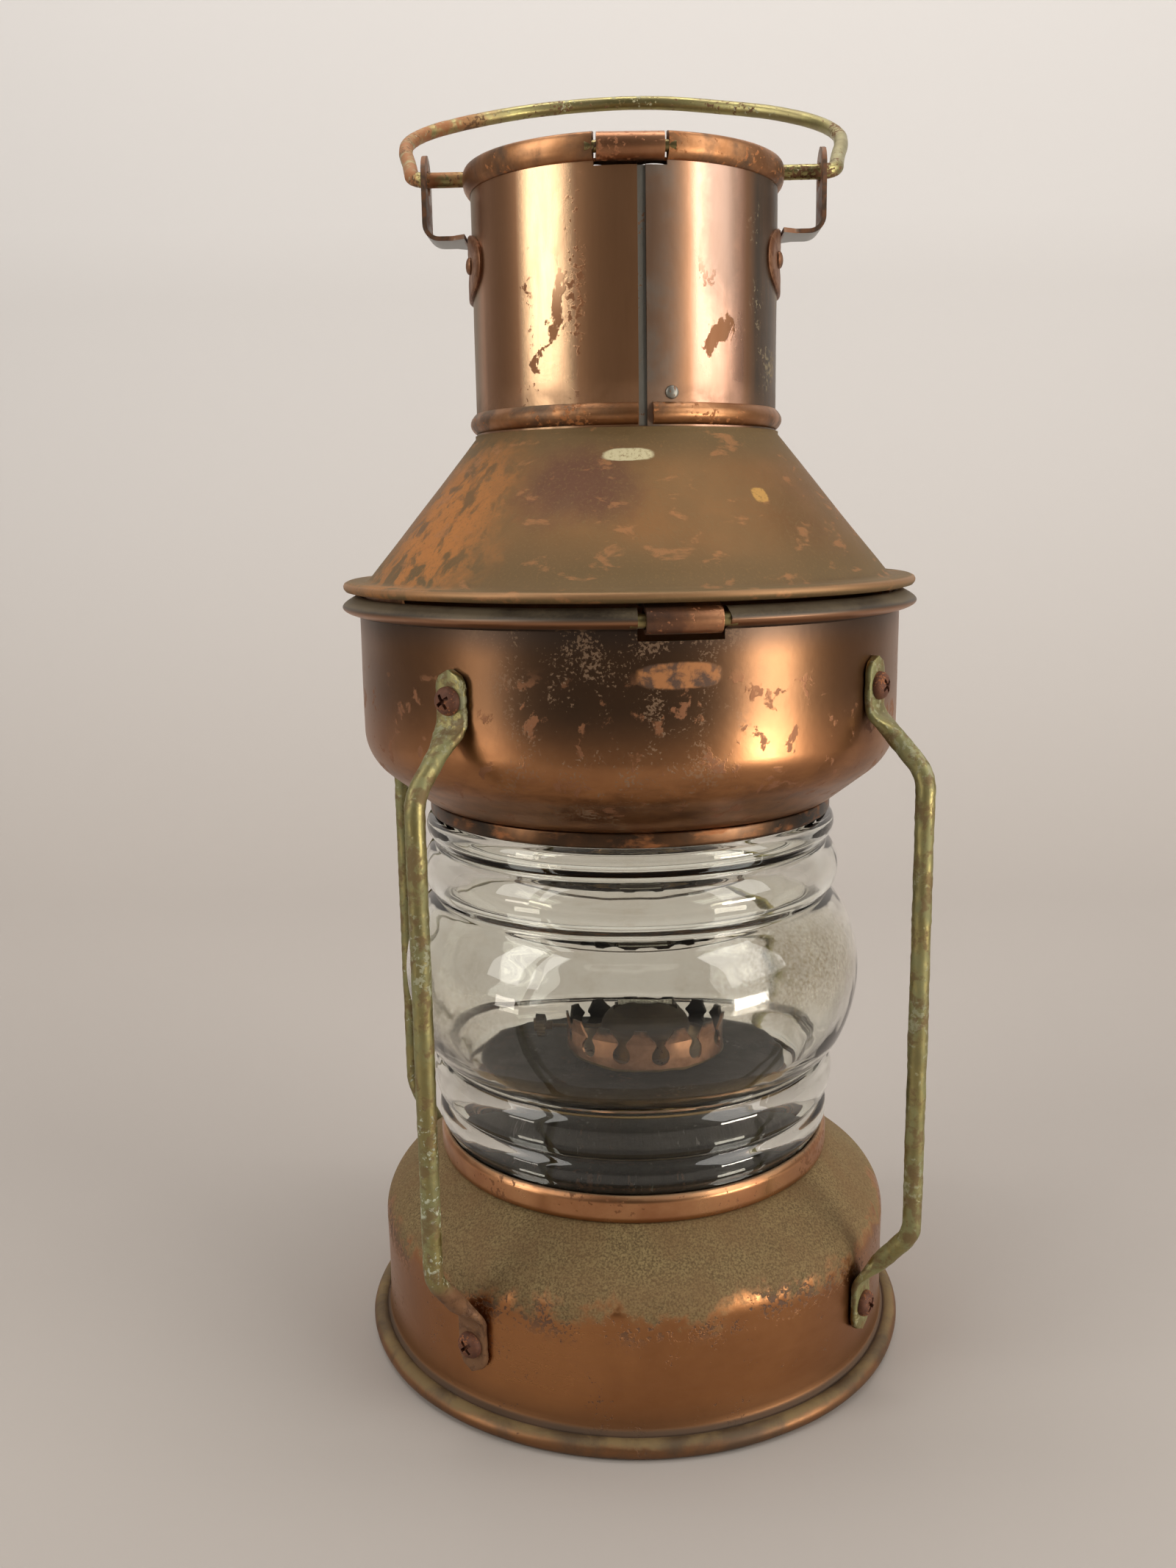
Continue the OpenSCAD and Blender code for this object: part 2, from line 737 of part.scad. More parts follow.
module chimney_sleeve() {
    color("silver")
    difference() {
        translate([0, 0, cone_top - 6]) cylinder(h = rim_z + 1 - cone_top + 6, r = tube_in);
        translate([0, 0, cone_top - 7]) cylinder(h = chimney_h + 9, r = sleeve_in);
        rim_cuts();
        rivet_holes();
    }
}

// low bead round the foot of the chimney, broken at the seam
module chimney_bead() {
    z = cone_top + 4.8;
    b = chimney_bead * 0.9;
    gap = 5.2;
    color("peru")
    rotate([0, 0, seam_az - 0.3 + gap - 90])
        rotate_extrude(angle = 360 - gap)
            polygon([[chimney_r, z - 3], [chimney_r + b * 0.35, z - 2.6],
                     [chimney_r + b * 0.85, z - 1.3], [chimney_r + b, z],
                     [chimney_r + b * 0.8, z + 1.4], [chimney_r + b * 0.3, z + 2.7],
                     [chimney_r, z + 3.1]]);
}

// notch, pin and bail holes shared by the chimney pieces
module rim_cuts() {
    at_az(cap_az) {
        front_notch(cap_notch, chimney_r - 9, chimney_r + 6, cap_hinge_z - 4.8, top_z + 2);
        translate([-cap_notch / 2 - 2.4, -cap_hinge_r, cap_hinge_z])
            rod_x(0, cap_notch + 4.8, cap_pin_r);
    }
    // open notches that the ends of the bail lie in
    notch = bail_r + pin_fit;
    translate([-chimney_r - 8, 0, pivot_z]) rod_x(0, 2 * chimney_r + 16, notch);
    translate([-chimney_r - 8, -notch, pivot_z]) cube([2 * chimney_r + 16, 2 * notch, 4]);
}

module chimney_rim() {
    z = rim_z;
    b = chimney_bead;
    h = rim_h;
    color("peru")
    difference() {
        rotate_extrude()
            polygon([[chimney_r, z], [chimney_r + b * 0.4, z + 0.2],
                     [chimney_r + b * 0.85, z + h * 0.25], [chimney_r + b, z + h * 0.5],
                     [chimney_r + b * 0.95, z + h * 0.78], [chimney_r + b * 0.6, z + h * 0.95],
                     [chimney_r, z + h]]);
        rim_cuts();
    }
}

module cap_pin() {
    color("goldenrod")
    at_az(cap_az)
        translate([-cap_notch / 2 - 2.4, -cap_hinge_r, cap_hinge_z])
            rod_x(0, cap_notch + 4.8, cap_pin_r);
}

// the cap lies inside the rim, just above the sleeve
cap_z = rim_z + 1.35;
cap_r = tube_in - 1.3;

module chimney_cap() {
    color("sienna")
    difference() {
        rotate_extrude()
            polygon([[0, cap_z + 1.4], [12, cap_z + 1.4], [20, cap_z], [cap_r, cap_z],
                     [cap_r, cap_z + 0.9], [20.4, cap_z + 0.9], [12.2, cap_z + 2.3],
                     [0, cap_z + 2.3]]);
        // vent holes
        for (k = [0:11])
            rotate([0, 0, k * 30 + 15]) translate([0, 12.3 - cap_r, cap_z - 1]) cylinder(h = 4, r = 4);
        // straight edge beside the hinge
        at_az(cap_az)
            front_notch(2 * cap_r, cap_hinge_r - 7.4, cap_hinge_r + 6, cap_z - 1, cap_z + 5);
    }
}

module cap_strap() {
    // leaf soldered on top of the cap
    lz = cap_z + 0.9 - cap_hinge_z;
    color("peru")
    at_az(cap_az)
        translate([0, -cap_hinge_r, cap_hinge_z])
            rolled_strap(cap_w, cap_pin_r, 3.8, 12, lz, 0.9);
}

// one bail ear at the right hand side: saddle pad and bent strap
module ear() {
    z = top_z - 28.5;
    t = 1.4;
    zs = z + 8.2;
    bend = 5;
    color("sienna")
    difference() {
        union() {
            // saddle pad round the chimney
            intersection() {
                difference() {
                    cylinder(h = top_z, r = chimney_r + 1.2, $fn = 128);
                    cylinder(h = top_z, r = chimney_r, $fn = 128);
                }
                translate([chimney_r - 30, 0, z]) rotate([90, 0, 90])
                    linear_extrude(height = 40)
                        polygon([for (a = [0:12:348]) [21.5 * cos(a), 9.8 * sin(a)]]);
            }
            // strap: out, round the bend and up to the eye
            difference() {
                translate([chimney_r, -ear_w / 2, zs])
                    cube([ear_x - bend - chimney_r, ear_w, t]);
                cylinder(h = top_z, r = chimney_r, $fn = 128);
            }
            translate([ear_x - bend, ear_w / 2, zs + bend]) rotate([90, 0, 0])
                intersection() {
                    difference() {
                        cylinder(h = ear_w, r = bend);
                        translate([0, 0, -1]) cylinder(h = ear_w + 2, r = bend - t);
                    }
                    translate([0, -bend, 0]) cube([bend, bend, ear_w]);
                }
            translate([ear_x - t, -ear_w / 2, zs + bend]) cube([t, ear_w, pivot_z - zs - bend]);
            translate([ear_x - t, 0, pivot_z]) rotate([0, 90, 0]) cylinder(h = t, r = ear_w / 2);
        }
        translate([chimney_r, 0, pivot_z]) rod_x(0, 30, bail_r + pin_fit);
        rivet_holes();
    }
}

module ear_right() {
    ear();
}

module ear_left() {
    mirror([1, 0, 0]) ear();
}

// round-headed rivet pointing outwards
module rivet(r, face, head, z) {
    pin_out(sleeve_in - 0.8, face, r, z);
    intersection() {
        pin_out(face, face + 1.2, head, z);
        translate([0, -face + head * 0.9, z]) sphere(r = head * 1.345);
    }
}

module ear_rivets() {
    color("silver")
    for (s = [-1, 1], a = [-14, 14])
        at_az(s * 90 + a) rivet(1.5, chimney_r + 1.2, 2.6, top_z - 28.5);
}

module seam_rivet() {
    color("silver")
    at_az(16.5) rivet(1, chimney_r, 1.9, cone_top + 10.5);
}

// ---- bail ----------------------------------------------------------------------

module bail() {
    w = bail_half;
    l = bail_len;
    // shoulder arcs and a flatter top arc, with a short straight between them
    turn = 45;
    rc = w * 0.5;
    link = 0.6;
    rt = (w - rc - link * cos(turn)) / sin(turn) + rc;
    low = l - rt + (rt - rc) * cos(turn) - link * sin(turn);
    color("olive")
    translate([0, 0, pivot_z]) rotate([90 - bail_lean, 0, 0]) {
        for (s = [0, 1]) mirror([s, 0, 0]) {
            wire([[tube_in + 0.4, 0], [w - 5, 0], [w, low * 0.6], [w, low]], [6, 40], bail_r);
            translate([w - rc, low, 0])
                rotate_extrude(angle = 90 - turn) translate([rc, 0]) circle(bail_r);
            translate([w, low, 0]) sphere(r = bail_r + ball);
            translate([rt * sin(turn), l - rt + rt * cos(turn), 0])
                rotate([0, 0, -turn]) rod_x(-0.3, link + 0.3, bail_r + ball);
        }
        translate([0, l - rt, 0]) rotate([0, 0, 90 - turn])
            rotate_extrude(angle = 2 * turn) translate([rt, 0]) circle(bail_r);
    }
}

// ---- drawing ---------------------------------------------------------------------

base_shell();
base_pan();
font_body();
font_top();
font_neck();
burner_base();
burner_crown();
burner_dome();
wick_tube();
wick_shaft();
wick_knob();
wick();
lens_seat();
lens_gasket_low();
lens_gasket_up();
lens();
neck_collar();
bowl_shell();
hinge_pin();
guard_rod_1();
guard_rod_2();
guard_rod_3();
guard_rod_4();
guard_screws();
guard_nuts();
catch_bracket();
lid_catch();
lid_cone();
lid_skirt();
lid_strap();
chimney_shell();
chimney_sleeve();
chimney_bead();
chimney_rim();
cap_pin();
chimney_cap();
cap_strap();
ear_left();
ear_right();
ear_rivets();
seam_rivet();
bail();
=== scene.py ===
# %% [markdown]
# # A ship's oil lantern
# The lantern is spun copper sheet, pressed glass and bent brass wire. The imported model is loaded
# first: it fixes every size and every joint. The cells below dress it, piece by piece.

# %% Load the frame
import math
import bmesh
import bpy
from mathutils import Matrix, Vector, noise


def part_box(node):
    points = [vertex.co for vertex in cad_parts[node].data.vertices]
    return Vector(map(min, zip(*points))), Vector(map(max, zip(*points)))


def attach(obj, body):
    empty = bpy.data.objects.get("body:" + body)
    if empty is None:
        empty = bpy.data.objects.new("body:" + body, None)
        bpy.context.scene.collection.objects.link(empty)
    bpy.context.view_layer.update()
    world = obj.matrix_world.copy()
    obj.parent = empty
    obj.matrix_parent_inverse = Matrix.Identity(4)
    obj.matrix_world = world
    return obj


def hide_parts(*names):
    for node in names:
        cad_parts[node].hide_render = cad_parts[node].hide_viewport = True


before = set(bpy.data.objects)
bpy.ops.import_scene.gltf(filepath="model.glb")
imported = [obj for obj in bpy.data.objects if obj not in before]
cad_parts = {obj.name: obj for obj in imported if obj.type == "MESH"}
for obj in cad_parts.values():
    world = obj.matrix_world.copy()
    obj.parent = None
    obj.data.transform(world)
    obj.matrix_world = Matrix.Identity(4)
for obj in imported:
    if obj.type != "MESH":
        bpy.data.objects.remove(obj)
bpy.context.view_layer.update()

# %% [markdown]
# ## Sizes
# The driving sizes are those of the model, in millimetres. Heights that the frame can give are
# read from it, so that the skins below always sit where the model has them.

# %% Sizes
MM = 0.001


def top_of(node):
    """Height of a node's highest point."""
    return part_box(node)[1][2] / MM


def bottom_of(node):
    """Height of a node's lowest point."""
    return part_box(node)[0][2] / MM


WALL_R = 84.8        # base and bowl wall
SHEET = 0.9          # copper sheet
NECK_R = 64.9        # lens collars
SEAT_R = 58.0        # hole through the neck
COLLAR_IN = 63.3     # inside of both lens collars
GLASS_R = 63.2       # lens at its foot and rim
DISH_SLOPE = 38.0    # degrees, of base and bowl
BASE_CORNER = 13.0
BOWL_CORNER = 16.4
BASE_H = top_of("base_shell")
NECK_Z = bottom_of("bowl_shell")
BOWL_TOP = top_of("bowl_shell")
BEAD_Z = BOWL_TOP - 3.3
BEAD_R = 90.0
FLANGE_Z = bottom_of("lid_skirt") + 4.4
FLANGE_R = 89.5
CONE_FOOT_R = WALL_R - 3.2
CONE_FOOT = FLANGE_Z + 3.4
CONE_TOP = top_of("lid_cone") - 1.2
TOP_Z = top_of("chimney_shell")
RIM_Z = TOP_Z - 7.4
CHIMNEY_R = 46.4
HINGE_AZ = 9.7       # lid hinge, degrees from the front
HINGE_GAP = 8.0      # half the notch in the bowl's bead, degrees
CAP_AZ = 2.5         # cap hinge
CAP_GAP = 12.6       # half the notch in the chimney's rim, degrees
SEAM_AZ = 4.7        # open seam of the chimney
SEAM_GAP = 2.9       # its width, degrees
ROD_AZ = [-34.4 + 90 * k for k in range(4)]
LOW_SCREW_Z = 26.3
TOP_SCREW_Z = BOWL_TOP - 25.6
PIVOT_Z = TOP_Z - 1.6
ROD_OUT = 102.4      # guard rods at their widest
ROD_HALF = 2.85      # half a rod's thickness
TAB_HALF = 5.1       # half the width of its flat ends
TAB_THIN = 1.2       # half their thickness
BAIL_HALF = 70.0
BAIL_LEN = 86.0
BAIL_LEAN = math.radians(62.0)
EAR_X = 60.6         # outer face of an ear
PAD_Z = TOP_Z - 28.5
print(f"base {BASE_H:.1f}, neck {NECK_Z:.1f}, bowl top {BOWL_TOP:.1f}, chimney top {TOP_Z:.1f} mm")

# %% [markdown]
# ## Camera, stage and light
# The view is from a little above the lantern's middle, quite close, so the lantern tapers
# downwards. The stage is one pale sheet that curves up behind. Polished copper shows its
# surroundings, so the light comes from two tall soft panels at the sides, and the front stays
# dim: that gives the bright upright bands with a dark middle. Two low strips make the glow in
# the corner of the bowl, one panel lies above, and one lights only the wall behind.

# %% Camera
CAMERA_AT = Vector((0, -0.4511, 0.2724))
LOOK_DOWN = math.radians(11.14)
LOOK_LEFT = math.radians(1.72)
ROLL = math.radians(0.91)
forward = Vector((-math.sin(LOOK_LEFT) * math.cos(LOOK_DOWN),
                  math.cos(LOOK_LEFT) * math.cos(LOOK_DOWN), -math.sin(LOOK_DOWN)))
level = Vector((math.cos(LOOK_LEFT), math.sin(LOOK_LEFT), 0))
above = level.cross(forward)
right = level * math.cos(ROLL) - above * math.sin(ROLL)
upward = right.cross(forward)

camera = bpy.data.objects.new("camera", bpy.data.cameras.new("camera"))
bpy.context.scene.collection.objects.link(camera)
turn = Matrix((right, upward, -forward)).transposed().to_4x4()
camera.matrix_world = Matrix.Translation(CAMERA_AT) @ turn
camera.data.sensor_width = 36
camera.data.lens = 32.1
camera.data.clip_start = 0.01
bpy.context.scene.camera = camera
print("camera", [round(v, 3) for v in camera.location], "lens", camera.data.lens)

# %% Helpers for meshes
def finished(name, mesh, sharp=40):
    """A smooth-shaded object of a mesh, with edges sharper than an angle kept crisp."""
    obj = bpy.data.objects.new(name, mesh)
    bpy.context.scene.collection.objects.link(obj)
    mesh.shade_smooth()
    mesh.set_sharp_from_angle(angle=math.radians(sharp))
    return obj


def mesh_from(name, verts, faces, sharp=40):
    """An object from points in millimetres; doubles are merged and faces turned outwards."""
    mesh = bpy.data.meshes.new(name)
    mesh.from_pydata([[c * MM for c in v] for v in verts], [], faces)
    bm = bmesh.new()
    bm.from_mesh(mesh)
    bmesh.ops.remove_doubles(bm, verts=bm.verts, dist=1e-7)
    bmesh.ops.dissolve_degenerate(bm, edges=bm.edges, dist=1e-8)
    bmesh.ops.recalc_face_normals(bm, faces=bm.faces)
    bm.to_mesh(mesh)
    bm.free()
    return finished(name, mesh, sharp)


def ring_faces(rings, count):
    """Faces between successive rings of count points each."""
    faces = []
    for j in range(rings - 1):
        low, high = j * count, (j + 1) * count
        for k in range(count):
            k2 = (k + 1) % count
            faces.append((low + k, low + k2, high + k2, high + k))
    return faces


def polar(r, az, z):
    """A point at radius r and angle az, in degrees from the front, positive towards +X."""
    a = math.radians(az)
    return Vector((r * math.sin(a), -r * math.cos(a), z))


def dented(p, size, scale, seed):
    """Pushes a point in or out a little, as hand-worked sheet is never quite round."""
    q = Vector(p) * scale + Vector((seed, seed * 2.1, 0))
    d = noise.noise(q) + 0.4 * noise.noise(q * 2.7)
    r = math.hypot(p[0], p[1])
    if r < 1:
        return Vector(p)
    k = 1 + size * d / r
    return Vector((p[0] * k, p[1] * k, p[2]))


def arc(cx, cz, r, a0, a1, n):
    """Points of an arc from angle a0 to a1, in degrees, in n steps."""
    return [(cx + r * math.cos(math.radians(a0 + (a1 - a0) * i / n)),
             cz + r * math.sin(math.radians(a0 + (a1 - a0) * i / n))) for i in range(n + 1)]


def smoothed(points, steps=6):
    """A curve through every point, for glass and other soft outlines."""
    out = []
    n = len(points)
    for i in range(n - 1):
        p0, p1 = Vector(points[max(i - 1, 0)]), Vector(points[i])
        p2, p3 = Vector(points[i + 1]), Vector(points[min(i + 2, n - 1)])
        for k in range(steps):
            t = k / steps
            out.append(tuple(0.5 * (2 * p1 + (p2 - p0) * t + (2 * p0 - 5 * p1 + 4 * p2 - p3) * t * t
                                    + (3 * p1 - p0 - 3 * p2 + p3) * t ** 3)))
    return out + [tuple(points[-1])]


def rounded(points, radius, n=4):
    """Replaces each corner of a closed outline by a small curve."""
    out = []
    for i, p in enumerate(points):
        p = Vector(p)
        a, b = Vector(points[i - 1]) - p, Vector(points[(i + 1) % len(points)]) - p
        cut = min(radius, a.length * 0.45, b.length * 0.45)
        a, b = p + a.normalized() * cut, p + b.normalized() * cut
        for k in range(n + 1):
            t = k / n
            out.append(tuple(a * (1 - t) ** 2 + p * 2 * t * (1 - t) + b * t * t))
    return out


def spun(name, loop, start=-180.0, sweep=360.0, step=1.5, dent=0.0, seed=0.0, sharp=40,
         windows=()):
    """Turns a closed outline of (radius, height) points round the axis. Each window is
    (angle 0, angle 1, keep) and leaves out the part of the outline for which keep is false."""
    edges = sorted({start, start + sweep} | {w[0] for w in windows} | {w[1] for w in windows})
    angles = []
    for a, b in zip(edges, edges[1:]):
        n = max(1, round((b - a) / step))
        angles += [a + (b - a) * i / n for i in range(n)]
    closed = sweep > 359.9
    if not closed:
        angles.append(edges[-1])
    rows = []
    for az in angles:
        row = [polar(r, az, z) for r, z in loop]
        rows.append([dented(p, dent, 0.016, seed) for p in row] if dent else row)
    n, m = len(loop), len(angles)
    verts = [p for row in rows for p in row]

    def window_at(j):
        """The window that column j lies in, if any."""
        mid = (angles[j % m] + (angles[j + 1] if j + 1 < m else start + sweep)) / 2
        for k, w in enumerate(windows):
            if w[0] < mid < w[1]:
                return k
        return None

    def span(k):
        """First and last outline point of the stretch that window k leaves out."""
        gone = [i for i, p in enumerate(loop) if not windows[k][2](*p)]
        first = next(i for i in gone if (i - 1) % n not in gone)
        count = len(gone)
        return [(first - 1 + i) % n for i in range(count + 2)]

    spans = [span(k) for k in range(len(windows))]
    faces = []
    for j in range(m if closed else m - 1):
        j2 = (j + 1) % m
        k = window_at(j)
        skip = {(a, b) for a, b in zip(spans[k], spans[k][1:])} if k is not None else set()
        for i in range(n):
            i2 = (i + 1) % n
            if (i, i2) not in skip:
                faces.append((j * n + i, j2 * n + i, j2 * n + i2, j * n + i2))
        if k is not None and len(spans[k]) < n:
            a, b = spans[k][0], spans[k][-1]
            faces.append((j * n + a, j2 * n + a, j2 * n + b, j * n + b))
        before = window_at(j - 1) if j or closed else k
        if before != k:
            which = k if k is not None else before
            faces.append(tuple(j * n + i for i in spans[which]))
    if not closed:
        faces += [tuple(range(n)), tuple((m - 1) * n + i for i in range(n))]
    return mesh_from(name, verts, faces, sharp)


def swept(name, path, section, sharp=50):
    """Carries a cross-section along a path of (point, side direction) pairs. section(i, a)
    gives the width across and the depth at step i and angle a."""
    verts = []
    sides = 20
    for i, (p, side) in enumerate(path):
        ahead = path[min(i + 1, len(path) - 1)][0] - path[max(i - 1, 0)][0]
        ahead.normalize()
        depth = ahead.cross(side).normalized()
        for k in range(sides):
            u, v = section(i, 2 * math.pi * k / sides)
            verts.append(p + side * u + depth * v)
    n = len(path)
    ends = [tuple(range(sides)), tuple((n - 1) * sides + k for k in range(sides))]
    return mesh_from(name, verts, ring_faces(n, sides) + ends, sharp)


def dressed(piece, material, body, *nodes):
    """Gives a piece its material and its body, and lets it stand for its model nodes."""
    piece.data.materials.clear()
    piece.data.materials.append(material)
    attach(piece, body)
    if nodes:
        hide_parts(*nodes)
    print(f"{piece.name}: {len(piece.data.polygons)} faces on {body}")
    return piece


def keep(node, material):
    """A model node that stays, with a finish of its own."""
    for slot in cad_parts[node].material_slots:
        slot.material = material


def joined(name, parts):
    """Several objects as one."""
    bm = bmesh.new()
    for part in parts:
        bm.from_mesh(part.data)
        bpy.data.objects.remove(part)
    mesh = bpy.data.meshes.new(name)
    bm.to_mesh(mesh)
    bm.free()
    return finished(name, mesh)


def cut_away(obj, cutter):
    """Takes the cutter's shape out of an object and forgets the cutter."""
    cut = obj.modifiers.new("cut", "BOOLEAN")
    cut.operation = "DIFFERENCE"
    cut.solver = "EXACT"
    cut.object = cutter
    settle(obj)
    bpy.data.objects.remove(cutter)


def settle(obj):
    """Applies an object's modifiers."""
    mesh = bpy.data.meshes.new_from_object(obj.evaluated_get(bpy.context.evaluated_depsgraph_get()))
    obj.modifiers.clear()
    obj.data = mesh
    mesh.shade_smooth()
    mesh.set_sharp_from_angle(angle=math.radians(40))


# %% Floor and backdrop
def stage_sheet():
    """A pale sheet: flat in front, curving up behind into a wall."""
    profile = [(-2.5, 0), (0.5, 0)]
    profile += [(0.5 + 0.5 * math.sin(a), 0.5 - 0.5 * math.cos(a))
                for a in [math.radians(d) for d in range(4, 91, 4)]]
    profile += [(1.0, 3.0)]
    n = len(profile)
    verts = [(x, y, z) for x in (-3.0, 3.0) for y, z in profile]
    faces = [(i, n + i, n + i + 1, i + 1) for i in range(n - 1)]
    mesh = bpy.data.meshes.new("backdrop")
    mesh.from_pydata(verts, [], faces)
    mesh.shade_smooth()
    obj = bpy.data.objects.new("backdrop", mesh)
    bpy.context.scene.collection.objects.link(obj)
    return obj


backdrop = stage_sheet()


def paper_material():
    """Matt paper, with painted shade on the floor and painted light up the wall: darker on the floor, paler
    up the wall.
    """
    paper = bpy.data.materials.new("pale_paper")
    paper.use_nodes = True
    nodes, wire = paper.node_tree.nodes, paper.node_tree.links.new
    shader = nodes["Principled BSDF"]
    place = nodes.new("ShaderNodeSeparateXYZ")
    wire(nodes.new("ShaderNodeTexCoord").outputs["Object"], place.inputs[0])
    floor_shade_wall_light = nodes.new("ShaderNodeMapRange")
    floor_shade_wall_light.inputs["From Min"].default_value = 0.0
    floor_shade_wall_light.inputs["From Max"].default_value = 0.55
    wire(place.outputs["Z"], floor_shade_wall_light.inputs["Value"])
    # painted shade and light: the paper's colour goes from darker on the floor to paler up the wall
    tone = nodes.new("ShaderNodeMix")
    tone.data_type = "RGBA"
    tone.inputs["A"].default_value = (0.40, 0.365, 0.335, 1)
    tone.inputs["B"].default_value = (0.62, 0.60, 0.585, 1)
    wire(floor_shade_wall_light.outputs["Result"], tone.inputs["Factor"])
    wire(tone.outputs["Result"], shader.inputs["Base Color"])
    shader.inputs["Roughness"].default_value = 0.85
    shader.inputs["Specular IOR Level"].default_value = 0.2
    return paper


backdrop.data.materials.append(paper_material())
print("stage:", backdrop.name)


# %% Lights
def soft_panel(name, at, size, power, colour=(1, 1, 1), aim=(0, 0, 0.2)):
    """A rectangular soft light that faces a point on the lantern."""
    data = bpy.data.lights.new(name, "AREA")
    data.shape = "RECTANGLE"
    data.size, data.size_y = size
    data.energy = power
    data.color = colour
    obj = bpy.data.objects.new(name, data)
    bpy.context.scene.collection.objects.link(obj)
    obj.location = at
    obj.rotation_euler = (Vector(aim) - Vector(at)).to_track_quat("-Z", "Y").to_euler()


soft_panel("panel_left", (-1.25, -0.72, 1.02), (0.85, 1.3), 14, (1.0, 0.98, 0.93), (0, 0, 0.5))
soft_panel("panel_right", (1.28, -0.60, 1.02), (1.0, 1.3), 16, (1.0, 0.98, 0.94), (0, 0, 0.5))
# low strips that glow in the corner of the bowl
soft_panel("strip_low_right", (1.02, -0.66, 0.09), (0.42, 0.14), 6.0, (1.0, 0.93, 0.82), (0, 0, 0.2))
soft_panel("strip_low_left", (-1.05, -0.62, 0.09), (0.34, 0.12), 1.1, (1.0, 0.93, 0.82), (0, 0, 0.2))
soft_panel("panel_above", (0.0, 0.25, 1.9), (1.2, 0.8), 4, (1.0, 0.98, 0.96))
soft_panel("panel_back_wall", (0.0, 0.1, 2.3), (2.6, 0.5), 36, (1.0, 0.97, 0.95), (0, 1.2, 1.3))

world = bpy.data.worlds.new("dim_room")
world.use_nodes = True
# dim towards the front, brighter all round and above
sky = world.node_tree.nodes
facing = sky.new("ShaderNodeSeparateXYZ")
world.node_tree.links.new(sky.new("ShaderNodeTexCoord").outputs["Generated"], facing.inputs[0])
fade = sky.new("ShaderNodeMapRange")
world.node_tree.links.new(facing.outputs["Y"], fade.inputs["Value"])
for key, value in (("From Min", -0.95), ("From Max", -0.35), ("To Min", 0.13), ("To Max", 0.26)):
    fade.inputs[key].default_value = value
world.node_tree.links.new(fade.outputs["Result"], sky["Background"].inputs["Strength"])
sky["Background"].inputs["Color"].default_value = (0.64, 0.59, 0.56, 1)
bpy.context.scene.world = world
bpy.context.scene.view_settings.view_transform = "Standard"
bpy.context.scene.view_settings.look = "None"
print("lights:", len(bpy.data.lights))

# %% [markdown]
# ## Effects that several finishes share
# Age leaves the same marks on every piece: blotches where the lacquer failed, streaks that run
# down, fine pits, and dust on whatever faces up. Each mark is one node group that puts out a
# mask, so a finish only chooses how much of it to use.


# %% Node helpers
class Nodes:
    """Small helper that adds nodes to a tree and wires them in one call."""

    def __init__(self, tree):
        self.tree = tree

    def feed(self, socket, value):
        """Wires a socket into another, or sets it to a plain value."""
        if isinstance(value, bpy.types.NodeSocket):
            self.tree.links.new(value, socket)
        else:
            socket.default_value = value

    def add(self, kind, links=None, **settings):
        """A new node with its settings and what its inputs are fed with."""
        node = self.tree.nodes.new(kind)
        for key, value in settings.items():
            setattr(node, key, value)
        for key, value in (links or {}).items():
            self.feed(node.inputs[key], value)
        return node

    def math(self, operation, a, b=None, clamp=False):
        """A sum, product or function of one or two numbers."""
        node = self.add("ShaderNodeMath", operation=operation, use_clamp=clamp)
        self.feed(node.inputs[0], a)
        if b is not None:
            self.feed(node.inputs[1], b)
        return node.outputs[0]

    def mix(self, factor, a, b):
        """A blend of two colours."""
        node = self.add("ShaderNodeMix", data_type="RGBA", blend_type="MIX")
        self.feed(node.inputs[0], factor)
        for i, value in ((6, a), (7, b)):
            self.feed(node.inputs[i], value if isinstance(value, bpy.types.NodeSocket) else (*value, 1))
        return node.outputs[2]

    def blendf(self, factor, a, b):
        """A blend of two numbers."""
        node = self.add("ShaderNodeMix", data_type="FLOAT")
        for i, value in ((0, factor), (2, a), (3, b)):
            self.feed(node.inputs[i], value)
        return node.outputs[0]

    def ramp(self, value, low, high):
        """A smooth step that is 0 at low and 1 at high."""
        node = self.add("ShaderNodeMapRange", {"Value": value}, interpolation_type="SMOOTHSTEP")
        for key, v in (("From Min", low), ("From Max", high), ("To Min", 0.0), ("To Max", 1.0)):
            self.feed(node.inputs[key], v)
        return node.outputs["Result"]

    def noise(self, vector, scale, detail=4.0, rough=0.55, distort=0.0):
        """Cloudy noise from 0 to 1."""
        node = self.add("ShaderNodeTexNoise", {"Vector": vector, "Scale": scale, "Detail": detail,
                                               "Roughness": rough, "Distortion": distort})
        return node.outputs["Fac"]

    def vector(self, operation, a, b):
        """Adds or multiplies two vectors."""
        return self.add("ShaderNodeVectorMath", {0: a, 1: b}, operation=operation).outputs[0]


def new_group(name, inputs, outputs):
    """A node group with named sockets: floats, or a vector where the default is a tuple."""
    tree = bpy.data.node_groups.new(name, "ShaderNodeTree")
    for label, default in inputs:
        kind = "NodeSocketVector" if isinstance(default, tuple) else "NodeSocketFloat"
        socket = tree.interface.new_socket(name=label, in_out="INPUT", socket_type=kind)
        socket.default_value = default
    for label, kind in outputs:
        tree.interface.new_socket(name=label, in_out="OUTPUT", socket_type=kind)
    nodes = Nodes(tree)
    return tree, nodes, nodes.add("NodeGroupInput"), nodes.add("NodeGroupOutput")


